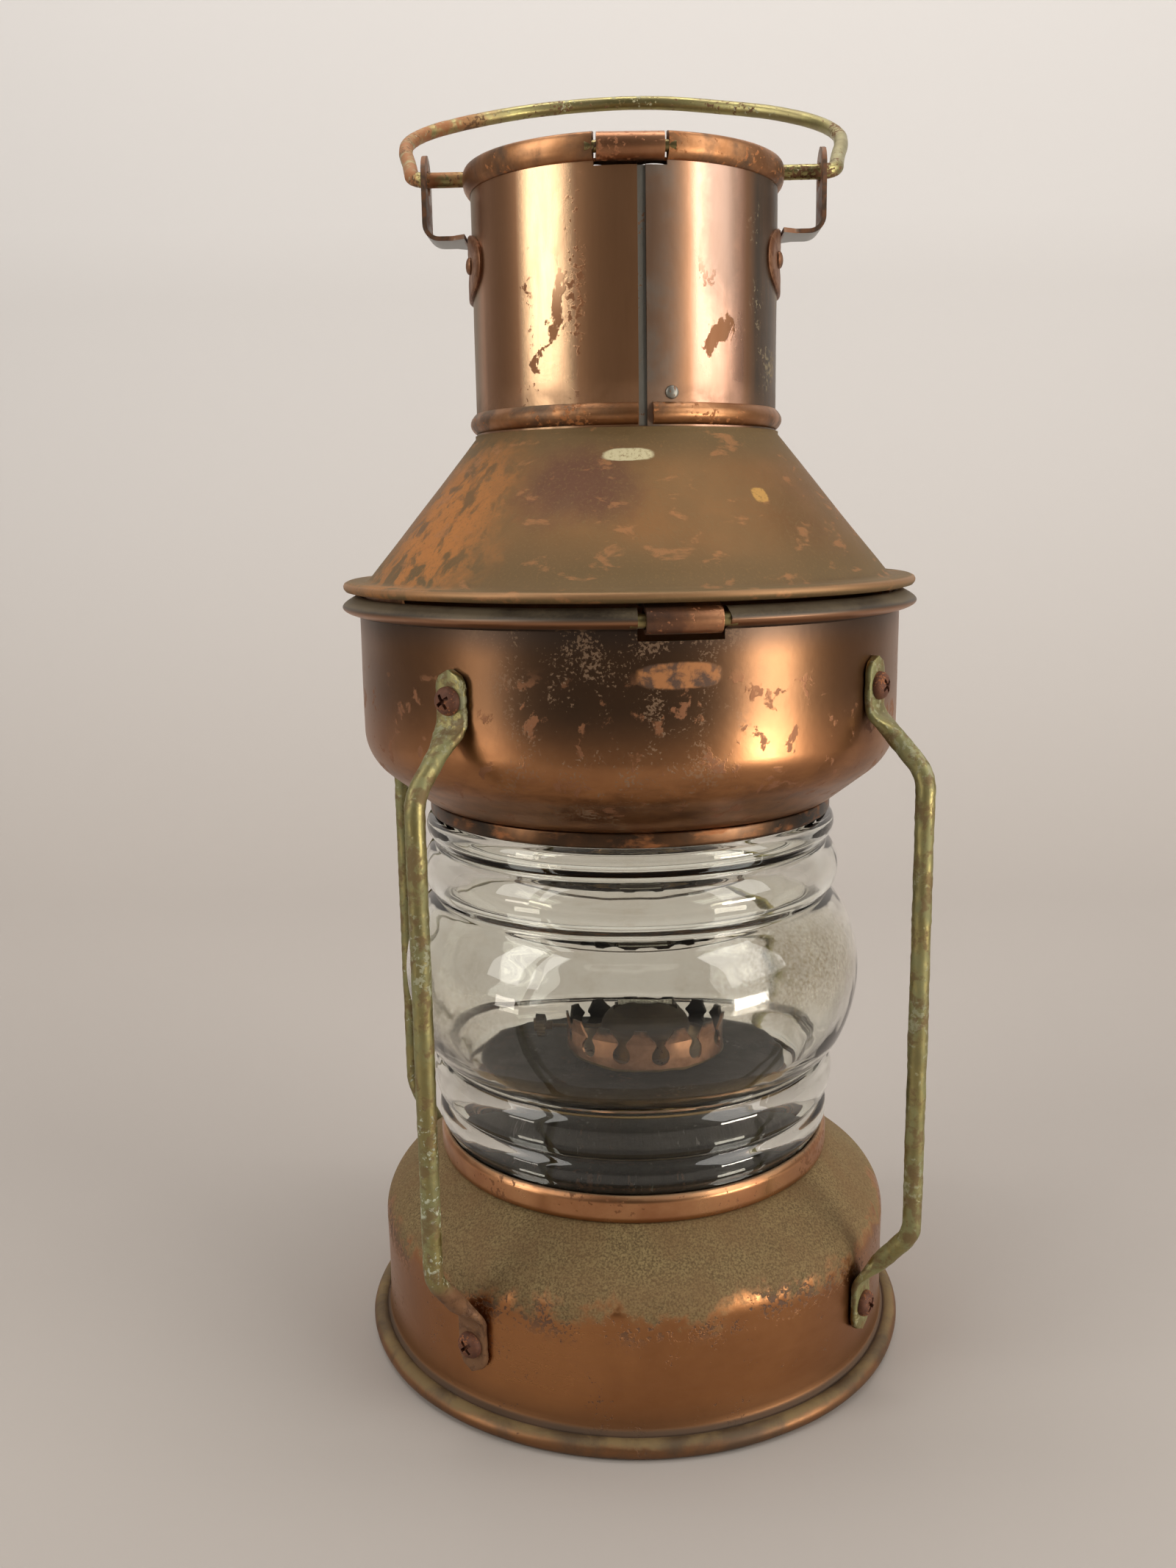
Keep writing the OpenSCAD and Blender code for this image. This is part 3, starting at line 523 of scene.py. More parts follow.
# %% Where on the lantern: angle, distance and height
def make_whereabouts():
    """Angle from the front in degrees, distance from the axis and height in millimetres."""
    tree, n, _, out = new_group("whereabouts", [], [
        ("Angle", "NodeSocketFloat"), ("Distance", "NodeSocketFloat"), ("Height", "NodeSocketFloat"),
        ("Place", "NodeSocketVector")])
    place = n.add("ShaderNodeTexCoord").outputs["Object"]
    xyz = n.add("ShaderNodeSeparateXYZ", {"Vector": place}).outputs
    back = n.math("MULTIPLY", xyz["Y"], -1.0)
    angle = n.math("MULTIPLY", n.math("ARCTAN2", xyz["X"], back), 180 / math.pi)
    square = n.math("ADD", n.math("MULTIPLY", xyz["X"], xyz["X"]), n.math("MULTIPLY", xyz["Y"], xyz["Y"]))
    tree.links.new(angle, out.inputs["Angle"])
    tree.links.new(n.math("MULTIPLY", n.math("SQRT", square), 1000.0), out.inputs["Distance"])
    tree.links.new(n.math("MULTIPLY", xyz["Z"], 1000.0), out.inputs["Height"])
    tree.links.new(n.add("ShaderNodeVectorMath", {0: place, "Scale": 1000.0}, operation="SCALE").outputs[0],
                   out.inputs["Place"])
    return tree


# %% Blotches: large uneven patches
def make_blotches():
    """Patches of a given size in millimetres; Amount is how much they cover."""
    tree, n, g, out = new_group("blotches", [
        ("Place", (0.0, 0.0, 0.0)), ("Size", 30.0), ("Amount", 0.5), ("Edge", 0.08),
        ("Tall", 1.0), ("Seed", 0.0)], [("Mask", "NodeSocketFloat")])
    flat = n.math("DIVIDE", 1.0, g.outputs["Tall"])
    stretch = n.add("ShaderNodeCombineXYZ", {"X": 1.0, "Y": 1.0, "Z": flat}).outputs[0]
    place = n.vector("MULTIPLY", g.outputs["Place"], stretch)
    shift = n.add("ShaderNodeCombineXYZ", {"X": g.outputs["Seed"], "Z": g.outputs["Seed"]}).outputs[0]
    place = n.vector("ADD", place, shift)
    value = n.noise(place, n.math("DIVIDE", 1.0, g.outputs["Size"]), 6.0, 0.62, 0.3)
    middle = n.math("SUBTRACT", 0.72, n.math("MULTIPLY", g.outputs["Amount"], 0.44))
    mask = n.ramp(value, n.math("SUBTRACT", middle, g.outputs["Edge"]),
                  n.math("ADD", middle, g.outputs["Edge"]))
    tree.links.new(mask, out.inputs["Mask"])
    return tree


# %% Pits: small sharp specks in clusters
def make_pits():
    """Specks of a given size, gathered in clusters about ten times as wide."""
    tree, n, g, out = new_group("pits", [
        ("Place", (0.0, 0.0, 0.0)), ("Size", 1.2), ("Amount", 0.5), ("Seed", 0.0)],
        [("Mask", "NodeSocketFloat")])
    shift = n.add("ShaderNodeCombineXYZ", {"X": g.outputs["Seed"], "Y": g.outputs["Seed"]}).outputs[0]
    place = n.vector("ADD", g.outputs["Place"], shift)
    fine = n.noise(place, n.math("DIVIDE", 1.0, g.outputs["Size"]), 5.0, 0.6, 0.2)
    crowd = n.noise(place, n.math("DIVIDE", 0.09, g.outputs["Size"]), 2.0, 0.5, 0.0)
    level = n.math("ADD", fine, n.math("MULTIPLY", n.math("SUBTRACT", crowd, 0.5), 0.7))
    middle = n.math("SUBTRACT", 0.86, n.math("MULTIPLY", g.outputs["Amount"], 0.4))
    tree.links.new(n.ramp(level, n.math("SUBTRACT", middle, 0.03), n.math("ADD", middle, 0.03)),
                   out.inputs["Mask"])
    return tree


# %% Dust: settles on what faces up
def make_dust():
    """Dust on upward faces, broken up by a fine grain."""
    tree, n, g, out = new_group("dust", [
        ("Place", (0.0, 0.0, 0.0)), ("Amount", 0.5), ("Grain", 0.7)],
        [("Mask", "NodeSocketFloat")])
    normal = n.add("ShaderNodeNewGeometry").outputs["Normal"]
    up = n.add("ShaderNodeSeparateXYZ", {"Vector": normal}).outputs["Z"]
    grain = n.noise(g.outputs["Place"], n.math("DIVIDE", 1.0, g.outputs["Grain"]), 3.0, 0.7)
    cloud = n.noise(g.outputs["Place"], 0.045, 5.0, 0.6, 0.4)
    patchy = n.math("MULTIPLY", n.math("SUBTRACT", cloud, 0.5), 1.3)
    level = n.math("ADD", n.math("MULTIPLY", up, 1.1), patchy)
    level = n.math("ADD", level, n.math("MULTIPLY", n.math("SUBTRACT", grain, 0.5), 0.55))
    level = n.math("ADD", level, g.outputs["Amount"])
    tree.links.new(n.ramp(level, 0.75, 1.35), out.inputs["Mask"])
    return tree


# %% Zone: one marked area by angle and height
def make_zone():
    """A soft-edged patch centred at an angle and a height, with a ragged edge."""
    tree, n, g, out = new_group("zone", [
        ("Place", (0.0, 0.0, 0.0)), ("Angle", 0.0), ("Height", 0.0), ("At Angle", 0.0), ("At Height", 0.0),
        ("Half Width", 10.0), ("Half Height", 10.0), ("Edge", 0.3), ("Ragged", 0.5)],
        [("Mask", "NodeSocketFloat")])

    def away(here, centre, half):
        """Distance from the centre, 1 at the edge."""
        offset = n.math("SUBTRACT", g.outputs[here], g.outputs[centre])
        return n.math("DIVIDE", n.math("ABSOLUTE", offset), g.outputs[half])

    across = away("Angle", "At Angle", "Half Width")
    upright = away("Height", "At Height", "Half Height")
    far = n.math("POWER", n.math("ADD", n.math("POWER", across, 3.0), n.math("POWER", upright, 3.0)), 0.3333)
    rag = n.noise(g.outputs["Place"], 0.16, 6.0, 0.65, 0.5)
    reach = n.math("MULTIPLY", g.outputs["Ragged"], 2.0)
    far = n.math("ADD", far, n.math("MULTIPLY", n.math("SUBTRACT", rag, 0.5), reach))
    low = n.math("SUBTRACT", 1.0, g.outputs["Edge"])
    high = n.math("ADD", 1.0, g.outputs["Edge"])
    tree.links.new(n.math("SUBTRACT", 1.0, n.ramp(far, low, high)), out.inputs["Mask"])
    return tree


GROUPS = {"whereabouts": make_whereabouts(), "blotches": make_blotches(), "pits": make_pits(),
          "dust": make_dust(), "zone": make_zone()}
print("effects:", ", ".join(GROUPS))


# %% A finish under construction
class Finish(Nodes):
    """A material's tree with its colour, roughness, metal and height as running values."""

    def __init__(self, name, colour, rough, metal=1.0):
        self.material = bpy.data.materials.new(name)
        self.material.use_nodes = True
        super().__init__(self.material.node_tree)
        self.shader = self.tree.nodes["Principled BSDF"]
        self.colour, self.rough, self.metal, self.height = colour, rough, metal, 0.0
        spot = self.group("whereabouts")
        self.angle, self.distance = spot["Angle"], spot["Distance"]
        self.z, self.place = spot["Height"], spot["Place"]

    def group(self, kind, **values):
        """The outputs of a shared effect, placed with values of its own."""
        node = self.add("ShaderNodeGroup")
        node.node_tree = GROUPS[kind]
        if kind != "whereabouts":
            self.tree.links.new(self.place, node.inputs["Place"])
        for key, value in values.items():
            self.feed(node.inputs[key.replace("_", " ")], value)
        return node.outputs

    def mask(self, kind, **values):
        """The mask of one of the shared effects."""
        return self.group(kind, **values)["Mask"]

    def zone(self, az, z, half_az, half_z, edge, ragged):
        """One marked area by its angle, height and half sizes."""
        return self.mask("zone", Angle=self.angle, Height=self.z, At_Angle=az, At_Height=z,
                         Half_Width=half_az, Half_Height=half_z, Edge=edge, Ragged=ragged)

    def layer(self, mask, colour=None, rough=None, metal=None, height=None):
        """Lays a mark over what is there, where its mask is white."""
        if colour is not None:
            self.colour = self.mix(mask, self.colour, colour)
        if rough is not None:
            self.rough = self.blendf(mask, self.rough, rough)
        if metal is not None:
            self.metal = self.blendf(mask, self.metal, metal)
        if height is not None:
            self.height = self.math("ADD", self.math("MULTIPLY", mask, height), self.height)

    def both(self, a, b):
        """Where both masks are white."""
        return self.math("MULTIPLY", a, b, clamp=True)

    def done(self, bump):
        """Feeds the shader and returns the material; bump is the relief's strength."""
        base = self.colour if isinstance(self.colour, bpy.types.NodeSocket) else (*self.colour, 1)
        self.feed(self.shader.inputs["Base Color"], base)
        self.feed(self.shader.inputs["Roughness"], self.rough)
        self.feed(self.shader.inputs["Metallic"], self.metal)
        if isinstance(self.height, bpy.types.NodeSocket):
            relief = self.add("ShaderNodeBump", {"Height": self.height, "Strength": bump, "Distance": MM})
            self.tree.links.new(relief.outputs[0], self.shader.inputs["Normal"])
        return self.material


OLIVE_DUST = (0.20, 0.15, 0.085)


# %% [markdown]
# ## Finishes of the copper
# Base, bowl, lid and chimney are the same sheet, but heat and hands aged each differently: the
# base is the brightest, the bowl is nearly black in front, dark patina with a painted dark
# reflection there, the lid is dull under dust and the chimney keeps its lacquer in bands, beside
# two bands of painted reflection. So each gets its own finish over one copper.


# %% Copper of the base
def base_finish():
    """Bright copper wall, dust from the shoulder up, a dull worn foot."""
    f = Finish("base_copper", (0.42, 0.192, 0.076), 0.26)
    tone = f.mask("blotches", Size=46.0, Amount=0.5, Edge=0.22, Seed=3.0)
    f.layer(tone, (0.30, 0.132, 0.054), 0.31)
    streak = f.mask("blotches", Size=9.0, Amount=0.42, Edge=0.2, Tall=0.16, Seed=11.0)
    f.layer(f.math("MULTIPLY", streak, 0.4), (0.36, 0.165, 0.075), 0.40)
    # brown film low on the wall and in the trough
    low = f.ramp(f.z, 17.0, 5.0)
    f.layer(f.math("MULTIPLY", low, 0.75), (0.17, 0.085, 0.04), 0.5, 0.8)
    # pits along the upper edge of the wall
    band = f.both(f.ramp(f.z, 27.0, 38.0), f.ramp(f.z, 50.0, 43.0))
    specks = f.mask("pits", Size=1.5, Amount=0.66, Seed=4.0)
    f.layer(f.both(specks, f.both(band, f.ramp(f.z, 30, 41))), (0.11, 0.055, 0.03), 0.6, 0.3, -0.2)
    rare = f.mask("pits", Size=1.0, Amount=0.36, Seed=9.0)
    f.layer(rare, (0.13, 0.06, 0.03), 0.6, 0.4, -0.1)
    # thick olive dust from the shoulder up, edge ragged
    edge = f.mask("blotches", Size=7.0, Amount=0.5, Edge=0.25, Seed=21.0)
    level = f.math("ADD", f.z, f.math("MULTIPLY", f.math("SUBTRACT", edge, 0.5), 9.0))
    wide = f.noise(f.place, 0.03, 2.0)
    level = f.math("ADD", level, f.math("MULTIPLY", f.math("SUBTRACT", wide, 0.5), 16.0))
    dusty = f.ramp(level, 39.5, 46.5)
    grain = f.noise(f.place, 1.5, 3.0, 0.7)
    dust = f.mix(f.ramp(grain, 0.32, 0.68), (0.07, 0.047, 0.015), (0.255, 0.19, 0.082))
    stain = f.mask("blotches", Size=17.0, Amount=0.52, Edge=0.2, Seed=61.0)
    dust = f.mix(f.math("MULTIPLY", stain, 0.6), dust, (0.15, 0.085, 0.032))
    f.layer(f.math("MULTIPLY", dusty, 0.93), dust, 0.85, 0.15)
    f.layer(f.both(dusty, grain), height=0.12)
    # dust in the trough and on the rolled foot
    foot = f.ramp(f.distance, 84.9, 86.0)
    film = f.mask("dust", Amount=0.34, Grain=0.8)
    f.layer(f.both(foot, film), (0.19, 0.13, 0.055), 0.8, 0.25)
    trough = f.both(f.ramp(f.distance, 84.7, 85.1), f.ramp(f.distance, 86.8, 86.0))
    f.layer(f.both(trough, f.ramp(f.z, 7.5, 6.0)), (0.09, 0.05, 0.027), 0.9, 0.1)
    wear = f.mask("blotches", Size=16.0, Amount=0.46, Edge=0.14, Seed=2.0)
    f.layer(f.both(foot, f.math("MULTIPLY", wear, 0.8)), (0.075, 0.05, 0.032), 0.55, 0.6)
    f.layer(f.noise(f.place, 0.35, 4.0), height=0.06)
    return f.done(0.6)


# %% Copper of the bowl
def bowl_finish():
    """Copper that is nearly black above, nearly black in front with a painted dark reflection, and
    orange-brown at the lower shoulder.
    """
    f = Finish("bowl_copper", (0.40, 0.19, 0.085), 0.27)
    tone = f.mask("blotches", Size=40.0, Amount=0.5, Edge=0.2, Seed=5.0)
    f.layer(tone, (0.29, 0.13, 0.058), 0.32)
    # darkened upper wall, darkest at the front: dark patina with a painted dark reflection of the dim room in
    # front
    front = f.ramp(f.math("ABSOLUTE", f.math("ADD", f.angle, 3.0)), 34.0, 6.0)
    high = f.ramp(f.z, 203.0, 222.0)
    cloud = f.mask("blotches", Size=22.0, Amount=0.55, Edge=0.3, Seed=8.0)
    # painted dark reflection: near black centred on the front, over the dark patina
    dark = f.math("MULTIPLY", f.both(front, high), f.blendf(cloud, 0.97, 0.8))
    f.layer(dark, (0.016, 0.017, 0.018), 0.32, 0.6)
    f.layer(f.math("MULTIPLY", high, 0.7), (0.085, 0.045, 0.022), 0.32, 0.85)
    upper = f.ramp(f.z, 232.0, 242.0)
    f.layer(f.math("MULTIPLY", upper, 0.75), (0.055, 0.04, 0.032), 0.4, 0.8)
    # copper shows again at the far left and right: copper colour with a painted reflection of the pale room
    # at the sides
    side = f.ramp(f.math("ABSOLUTE", f.angle), 58.0, 84.0)
    f.layer(f.math("MULTIPLY", side, 0.55), (0.30, 0.135, 0.065), 0.4)
    # orange-brown lower shoulder with streaks and scabs
    low = f.ramp(f.z, 206.0, 194.0)
    streak = f.mask("blotches", Size=10.0, Amount=0.5, Edge=0.2, Tall=0.3, Seed=14.0)
    brown = f.mix(streak, (0.32, 0.14, 0.052), (0.17, 0.072, 0.028))
    f.layer(f.math("MULTIPLY", low, 0.85), brown, 0.36, 0.9)
    scab = f.mask("blotches", Size=7.0, Amount=0.26, Edge=0.03, Seed=31.0)
    f.layer(f.both(scab, f.ramp(f.z, 232.0, 222.0)), (0.26, 0.115, 0.055), 0.55, 0.7, 0.05)
    # fine light specks over the dark front
    fleck = f.mask("pits", Size=0.9, Amount=0.56, Seed=17.0)
    f.layer(f.both(f.math("MULTIPLY", fleck, 0.8), front), (0.24, 0.15, 0.09), 0.6, 0.5)
    # rusty worn patch where the hinge rubbed
    patch = f.zone(9.1, 228.8, 7.4, 3.4, 0.12, 0.22)
    mottle = f.mask("blotches", Size=4.0, Amount=0.5, Edge=0.1, Seed=1.0)
    f.layer(patch, f.mix(mottle, (0.10, 0.055, 0.035), (0.40, 0.17, 0.06)), 0.6, 0.4, 0.08)
    # bead: green-black on top, copper where it is worn below
    bead = f.ramp(f.distance, 85.6, 87.4)
    f.layer(bead, (0.075, 0.06, 0.045), 0.45, 0.7)
    under = f.both(bead, f.ramp(f.z, 244.4, 242.6))
    f.layer(f.math("MULTIPLY", under, 0.9), (0.42, 0.20, 0.10), 0.36, 1.0)
    film = f.mask("dust", Amount=0.24, Grain=0.9)
    f.layer(f.math("MULTIPLY", film, 0.6), OLIVE_DUST, 0.85, 0.1)
    f.layer(f.noise(f.place, 0.4, 4.0), height=0.05)
    return f.done(0.5)


# %% Dull copper of the lid
def lid_finish():
    """Brown copper under an olive film, with rust on the left flank and two paint spots."""
    f = Finish("lid_copper", (0.165, 0.078, 0.025), 0.48, 0.75)
    tone = f.mask("blotches", Size=38.0, Amount=0.5, Edge=0.25, Seed=7.0)
    f.layer(tone, (0.235, 0.115, 0.04), 0.50, 0.7)
    olive = f.mask("blotches", Size=26.0, Amount=0.55, Edge=0.25, Seed=12.0)
    f.layer(f.math("MULTIPLY", olive, 0.5), (0.14, 0.088, 0.032), 0.65, 0.5)
    # greener near the chimney and near the flange
    ends = f.math("MAXIMUM", f.ramp(f.z, 268.0, 254.0), f.ramp(f.z, 282.0, 292.0))
    f.layer(f.math("MULTIPLY", ends, 0.65), (0.115, 0.08, 0.032), 0.7, 0.45)
    # maroon patch left of the middle
    maroon = f.zone(-13.0, 279.0, 14.0, 9.0, 0.55, 0.6)
    f.layer(f.math("MULTIPLY", maroon, 0.8), (0.10, 0.036, 0.018), 0.6, 0.5)
    # orange rust on the left flank
    flank = f.zone(-52.0, 268.0, 17.0, 20.0, 0.6, 0.6)
    scab = f.mask("blotches", Size=7.0, Amount=0.56, Edge=0.06, Tall=1.6, Seed=19.0)
    f.layer(f.both(flank, scab), (0.40, 0.155, 0.035), 0.7, 0.3, 0.06)
    left = f.zone(-80.0, 262.0, 30.0, 14.0, 0.5, 0.5)
    specks = f.mask("pits", Size=1.6, Amount=0.55, Seed=3.0)
    f.layer(f.both(left, specks), (0.33, 0.12, 0.03), 0.7, 0.3)
    scrape = f.mask("blotches", Size=11.0, Amount=0.24, Edge=0.04, Tall=0.4, Seed=44.0)
    f.layer(f.math("MULTIPLY", scrape, 0.6), (0.36, 0.16, 0.06), 0.65, 0.5)
    # pale paint spots
    paint = f.zone(0.5, 287.0, 7.5, 1.7, 0.1, 0.22)
    f.layer(paint, (0.50, 0.44, 0.26), 0.7, 0.0, 0.08)
    drop = f.zone(37.0, 275.5, 2.4, 2.0, 0.15, 0.3)
    f.layer(f.math("MULTIPLY", drop, 0.7), (0.55, 0.30, 0.06), 0.7, 0.0, 0.05)
    grain = f.noise(f.place, 1.1, 4.0, 0.7)
    f.layer(f.math("MULTIPLY", f.ramp(grain, 0.5, 0.72), 0.75), (0.185, 0.108, 0.038), 0.8, 0.3, 0.05)
    film = f.mask("dust", Amount=0.05, Grain=0.8)
    f.layer(f.math("MULTIPLY", film, 0.3), (0.20, 0.14, 0.065), 0.85, 0.2)
    # flange edge worn to copper
    edge = f.both(f.ramp(f.distance, 88.3, 89.3), f.ramp(f.z, 249.0, 250.2))
    f.layer(f.math("MULTIPLY", edge, 0.6), (0.40, 0.22, 0.11), 0.42, 0.9)
    return f.done(0.6)


# %% Lacquered copper of the chimney
def chimney_finish():
    """Upright bands of lacquer, grey oxide and painted reflection, flaking low down."""
    f = Finish("chimney_copper", (0.50, 0.27, 0.155), 0.27)
    tone = f.mask("blotches", Size=30.0, Amount=0.5, Edge=0.25, Tall=1.5, Seed=6.0)
    f.layer(tone, (0.40, 0.20, 0.105), 0.30)
    # upright bands: brown lacquer, a gold band of painted reflection, grey oxide
    brown = f.both(f.ramp(f.angle, -17.5, -15.5), f.ramp(f.angle, 5.5, 4.6))
    f.layer(f.math("MULTIPLY", brown, 0.8), (0.36, 0.185, 0.09), 0.38, 0.9)
    dull = f.both(f.ramp(f.angle, -64.0, -60.0), f.ramp(f.angle, -38.0, -42.0))
    f.layer(f.math("MULTIPLY", dull, 0.6), (0.27, 0.135, 0.065), 0.36, 0.9)
    # painted reflection: a gold band where the copper mirrors the light at the left
    gold_reflection_band = f.both(f.ramp(f.angle, -41.0, -38.0), f.ramp(f.angle, -16.0, -19.0))
    f.layer(f.math("MULTIPLY", gold_reflection_band, 0.7), (0.80, 0.52, 0.30), 0.24)
    seam = f.both(f.ramp(f.angle, 7.2, 7.8), f.ramp(f.angle, 24.0, 13.0))
    cloud = f.mask("blotches", Size=15.0, Amount=0.52, Edge=0.14, Seed=9.0)
    f.layer(f.both(seam, f.blendf(cloud, 0.95, 0.45)), (0.24, 0.205, 0.17), 0.40, 0.8)
    # painted reflection: a pinkish band where the copper mirrors the light at the right
    pinkish_reflection_band = f.both(f.ramp(f.angle, 22.0, 27.0), f.ramp(f.angle, 50.0, 45.0))
    f.layer(f.math("MULTIPLY", pinkish_reflection_band, 0.75), (0.74, 0.43, 0.31), 0.24)
    smoke = f.both(f.zone(37.0, 352.0, 8.0, 26.0, 0.5, 0.5), pinkish_reflection_band)
    f.layer(f.math("MULTIPLY", smoke, 0.6), (0.15, 0.13, 0.11), 0.4, 0.8)
    coal = f.ramp(f.angle, 46.0, 56.0)
    f.layer(f.math("MULTIPLY", coal, 0.93), (0.05, 0.045, 0.036), 0.42, 0.7)
    fleck = f.mask("pits", Size=1.1, Amount=0.52, Seed=27.0)
    f.layer(f.both(fleck, coal), (0.21, 0.17, 0.105), 0.7, 0.4)
    back = f.ramp(f.angle, -62.0, -74.0)
    f.layer(f.math("MULTIPLY", back, 0.8), (0.16, 0.135, 0.09), 0.5, 0.6)
    # lacquer scabs: sharp brown islands over the two bands of painted reflection
    scab = f.mask("blotches", Size=11.0, Amount=0.27, Edge=0.012, Tall=1.5, Seed=15.0)
    lower = f.ramp(f.z, 346.0, 322.0)
    f.layer(f.both(scab, f.math("MULTIPLY", f.math("MAXIMUM", gold_reflection_band, pinkish_reflection_band), lower)),
            (0.20, 0.085, 0.035), 0.5, 0.75, 0.1)
    pitted = f.mask("pits", Size=1.7, Amount=0.58, Seed=2.0)
    near, far = f.zone(-17.0, 335.0, 3.4, 34.0, 0.4, 0.3), f.zone(-38.0, 320.0, 3.4, 24.0, 0.4, 0.3)
    f.layer(f.both(pitted, f.math("MAXIMUM", near, far)), (0.22, 0.09, 0.035), 0.55, 0.6, 0.06)
    streak = f.mask("blotches", Size=5.0, Amount=0.4, Edge=0.2, Tall=6.0, Seed=51.0)
    f.layer(f.math("MULTIPLY", streak, 0.3), (0.24, 0.125, 0.065), 0.40)
    # grime over the low bead
    grime = f.both(f.ramp(f.z, 309.0, 302.5), f.mask("blotches", Size=9.0, Amount=0.55, Edge=0.2, Seed=33.0))
    f.layer(f.math("MULTIPLY", grime, 0.55), (0.12, 0.065, 0.035), 0.6, 0.5)
    f.layer(f.noise(f.place, 0.5, 4.0), height=0.04)
    return f.done(0.5)


# %% Copper of rim, low bead and straps
def trim_finish():
    """Handled copper of the beads, with dark patches and rust specks."""
    f = Finish("trim_copper", (0.42, 0.21, 0.10), 0.36)
    tone = f.mask("blotches", Size=16.0, Amount=0.5, Edge=0.2, Seed=8.0)
    f.layer(tone, (0.27, 0.12, 0.05), 0.42)
    dark = f.mask("blotches", Size=18.0, Amount=0.36, Edge=0.1, Seed=13.0)
    f.layer(f.math("MULTIPLY", dark, 0.85), (0.075, 0.05, 0.033), 0.5, 0.7)
    rust = f.mask("pits", Size=1.5, Amount=0.54, Seed=6.0)
    f.layer(rust, (0.36, 0.135, 0.04), 0.7, 0.3, 0.05)
    film = f.mask("dust", Amount=0.12, Grain=0.7)
    f.layer(f.math("MULTIPLY", film, 0.45), (0.22, 0.165, 0.10), 0.85, 0.2)
    f.layer(f.noise(f.place, 0.8, 4.0), height=0.05)
    return f.done(0.6)


def strap_finish():
    """Copper strap, one half of the lid strap blackened."""
    f = Finish("strap_copper", (0.40, 0.20, 0.105), 0.36)
    half = f.ramp(f.math("ADD", f.angle, f.math("MULTIPLY", f.noise(f.place, 0.3, 3.0), 5.0)), 14.0, 11.0)
    f.layer(f.math("MULTIPLY", half, f.ramp(f.z, 300.0, 299.0)), (0.055, 0.042, 0.036), 0.4, 0.8)
    rust = f.mask("pits", Size=1.3, Amount=0.56, Seed=8.0)
    f.layer(rust, (0.34, 0.13, 0.05), 0.65, 0.4, 0.05)
    tone = f.mask("blotches", Size=12.0, Amount=0.5, Edge=0.2, Seed=3.0)
    f.layer(f.math("MULTIPLY", tone, 0.6), (0.25, 0.105, 0.05), 0.45)
    f.layer(f.noise(f.place, 0.9, 4.0), height=0.05)
    return f.done(0.5)


def neck_finish():
    """Dark collar under the bowl with streaks of rust."""
    f = Finish("neck_copper", (0.15, 0.075, 0.038), 0.32)
    tone = f.mask("blotches", Size=24.0, Amount=0.55, Edge=0.2, Seed=8.0)
    f.layer(tone, (0.03, 0.024, 0.018), 0.38, 0.8)
    rust = f.mask("blotches", Size=9.0, Amount=0.3, Edge=0.1, Tall=0.4, Seed=18.0)
    f.layer(rust, (0.30, 0.115, 0.04), 0.6, 0.6)
    return f.done(0.4)


def seat_finish():
    """The brightest copper, dusty on top."""
    f = Finish("seat_copper", (0.52, 0.27, 0.13), 0.26)
    tone = f.mask("blotches", Size=20.0, Amount=0.5, Edge=0.2, Seed=8.0)
    f.layer(tone, (0.38, 0.17, 0.08), 0.36)
    rust = f.mask("pits", Size=1.8, Amount=0.5, Seed=12.0)
    f.layer(rust, (0.20, 0.08, 0.03), 0.6, 0.5)
    film = f.both(f.mask("dust", Amount=0.3, Grain=0.8), f.ramp(f.z, 68.5, 70.0))
    f.layer(f.math("MULTIPLY", film, 0.6), (0.22, 0.16, 0.095), 0.85, 0.1)
    return f.done(0.5)


# %% [markdown]
# ## Finishes of brass, steel, glass and wick
# The guard rods are brass wire gone yellow-green, with crusts of pale salt; the screws are plain
# steel and have rusted right through; the glass is clear but dusty; soot covers the font.


# %% Brass, steel, soot
def rod_finish():
    """Yellow-green brass with crusts of salt, and one rusty elbow."""
    f = Finish("rod_brass", (0.32, 0.275, 0.115), 0.36)
    tone = f.mask("blotches", Size=12.0, Amount=0.5, Edge=0.15, Tall=2.0, Seed=4.0)
    f.layer(tone, (0.22, 0.19, 0.085), 0.45, 0.85)
    green = f.mask("blotches", Size=5.0, Amount=0.46, Edge=0.1, Tall=2.0, Seed=14.0)
    f.layer(f.math("MULTIPLY", green, 0.7), (0.20, 0.20, 0.09), 0.7, 0.3, 0.05)
    crust = f.mask("pits", Size=1.7, Amount=0.58, Seed=24.0)
    low = f.ramp(f.z, 190.0, 80.0)
    side = f.ramp(f.angle, 10.0, -10.0)
    f.layer(f.both(crust, f.math("ADD", 0.35, f.math("MULTIPLY", f.both(low, side), 0.65))),
            (0.42, 0.43, 0.31), 0.85, 0.05, 0.16)
    rust = f.mask("blotches", Size=4.5, Amount=0.38, Edge=0.06, Seed=34.0)
    f.layer(f.math("MULTIPLY", rust, 0.7), (0.15, 0.085, 0.035), 0.7, 0.4)
    elbow = f.both(f.zone(ROD_AZ[0], 34.0, 9.0, 21.0, 0.25, 0.3), f.ramp(f.z, 56.0, 48.0))
    f.layer(f.math("MULTIPLY", elbow, 0.92), f.mix(rust, (0.21, 0.10, 0.05), (0.13, 0.06, 0.03)), 0.62, 0.5)
    f.layer(f.noise(f.place, 1.3, 4.0), height=0.08)
    return f.done(0.7)


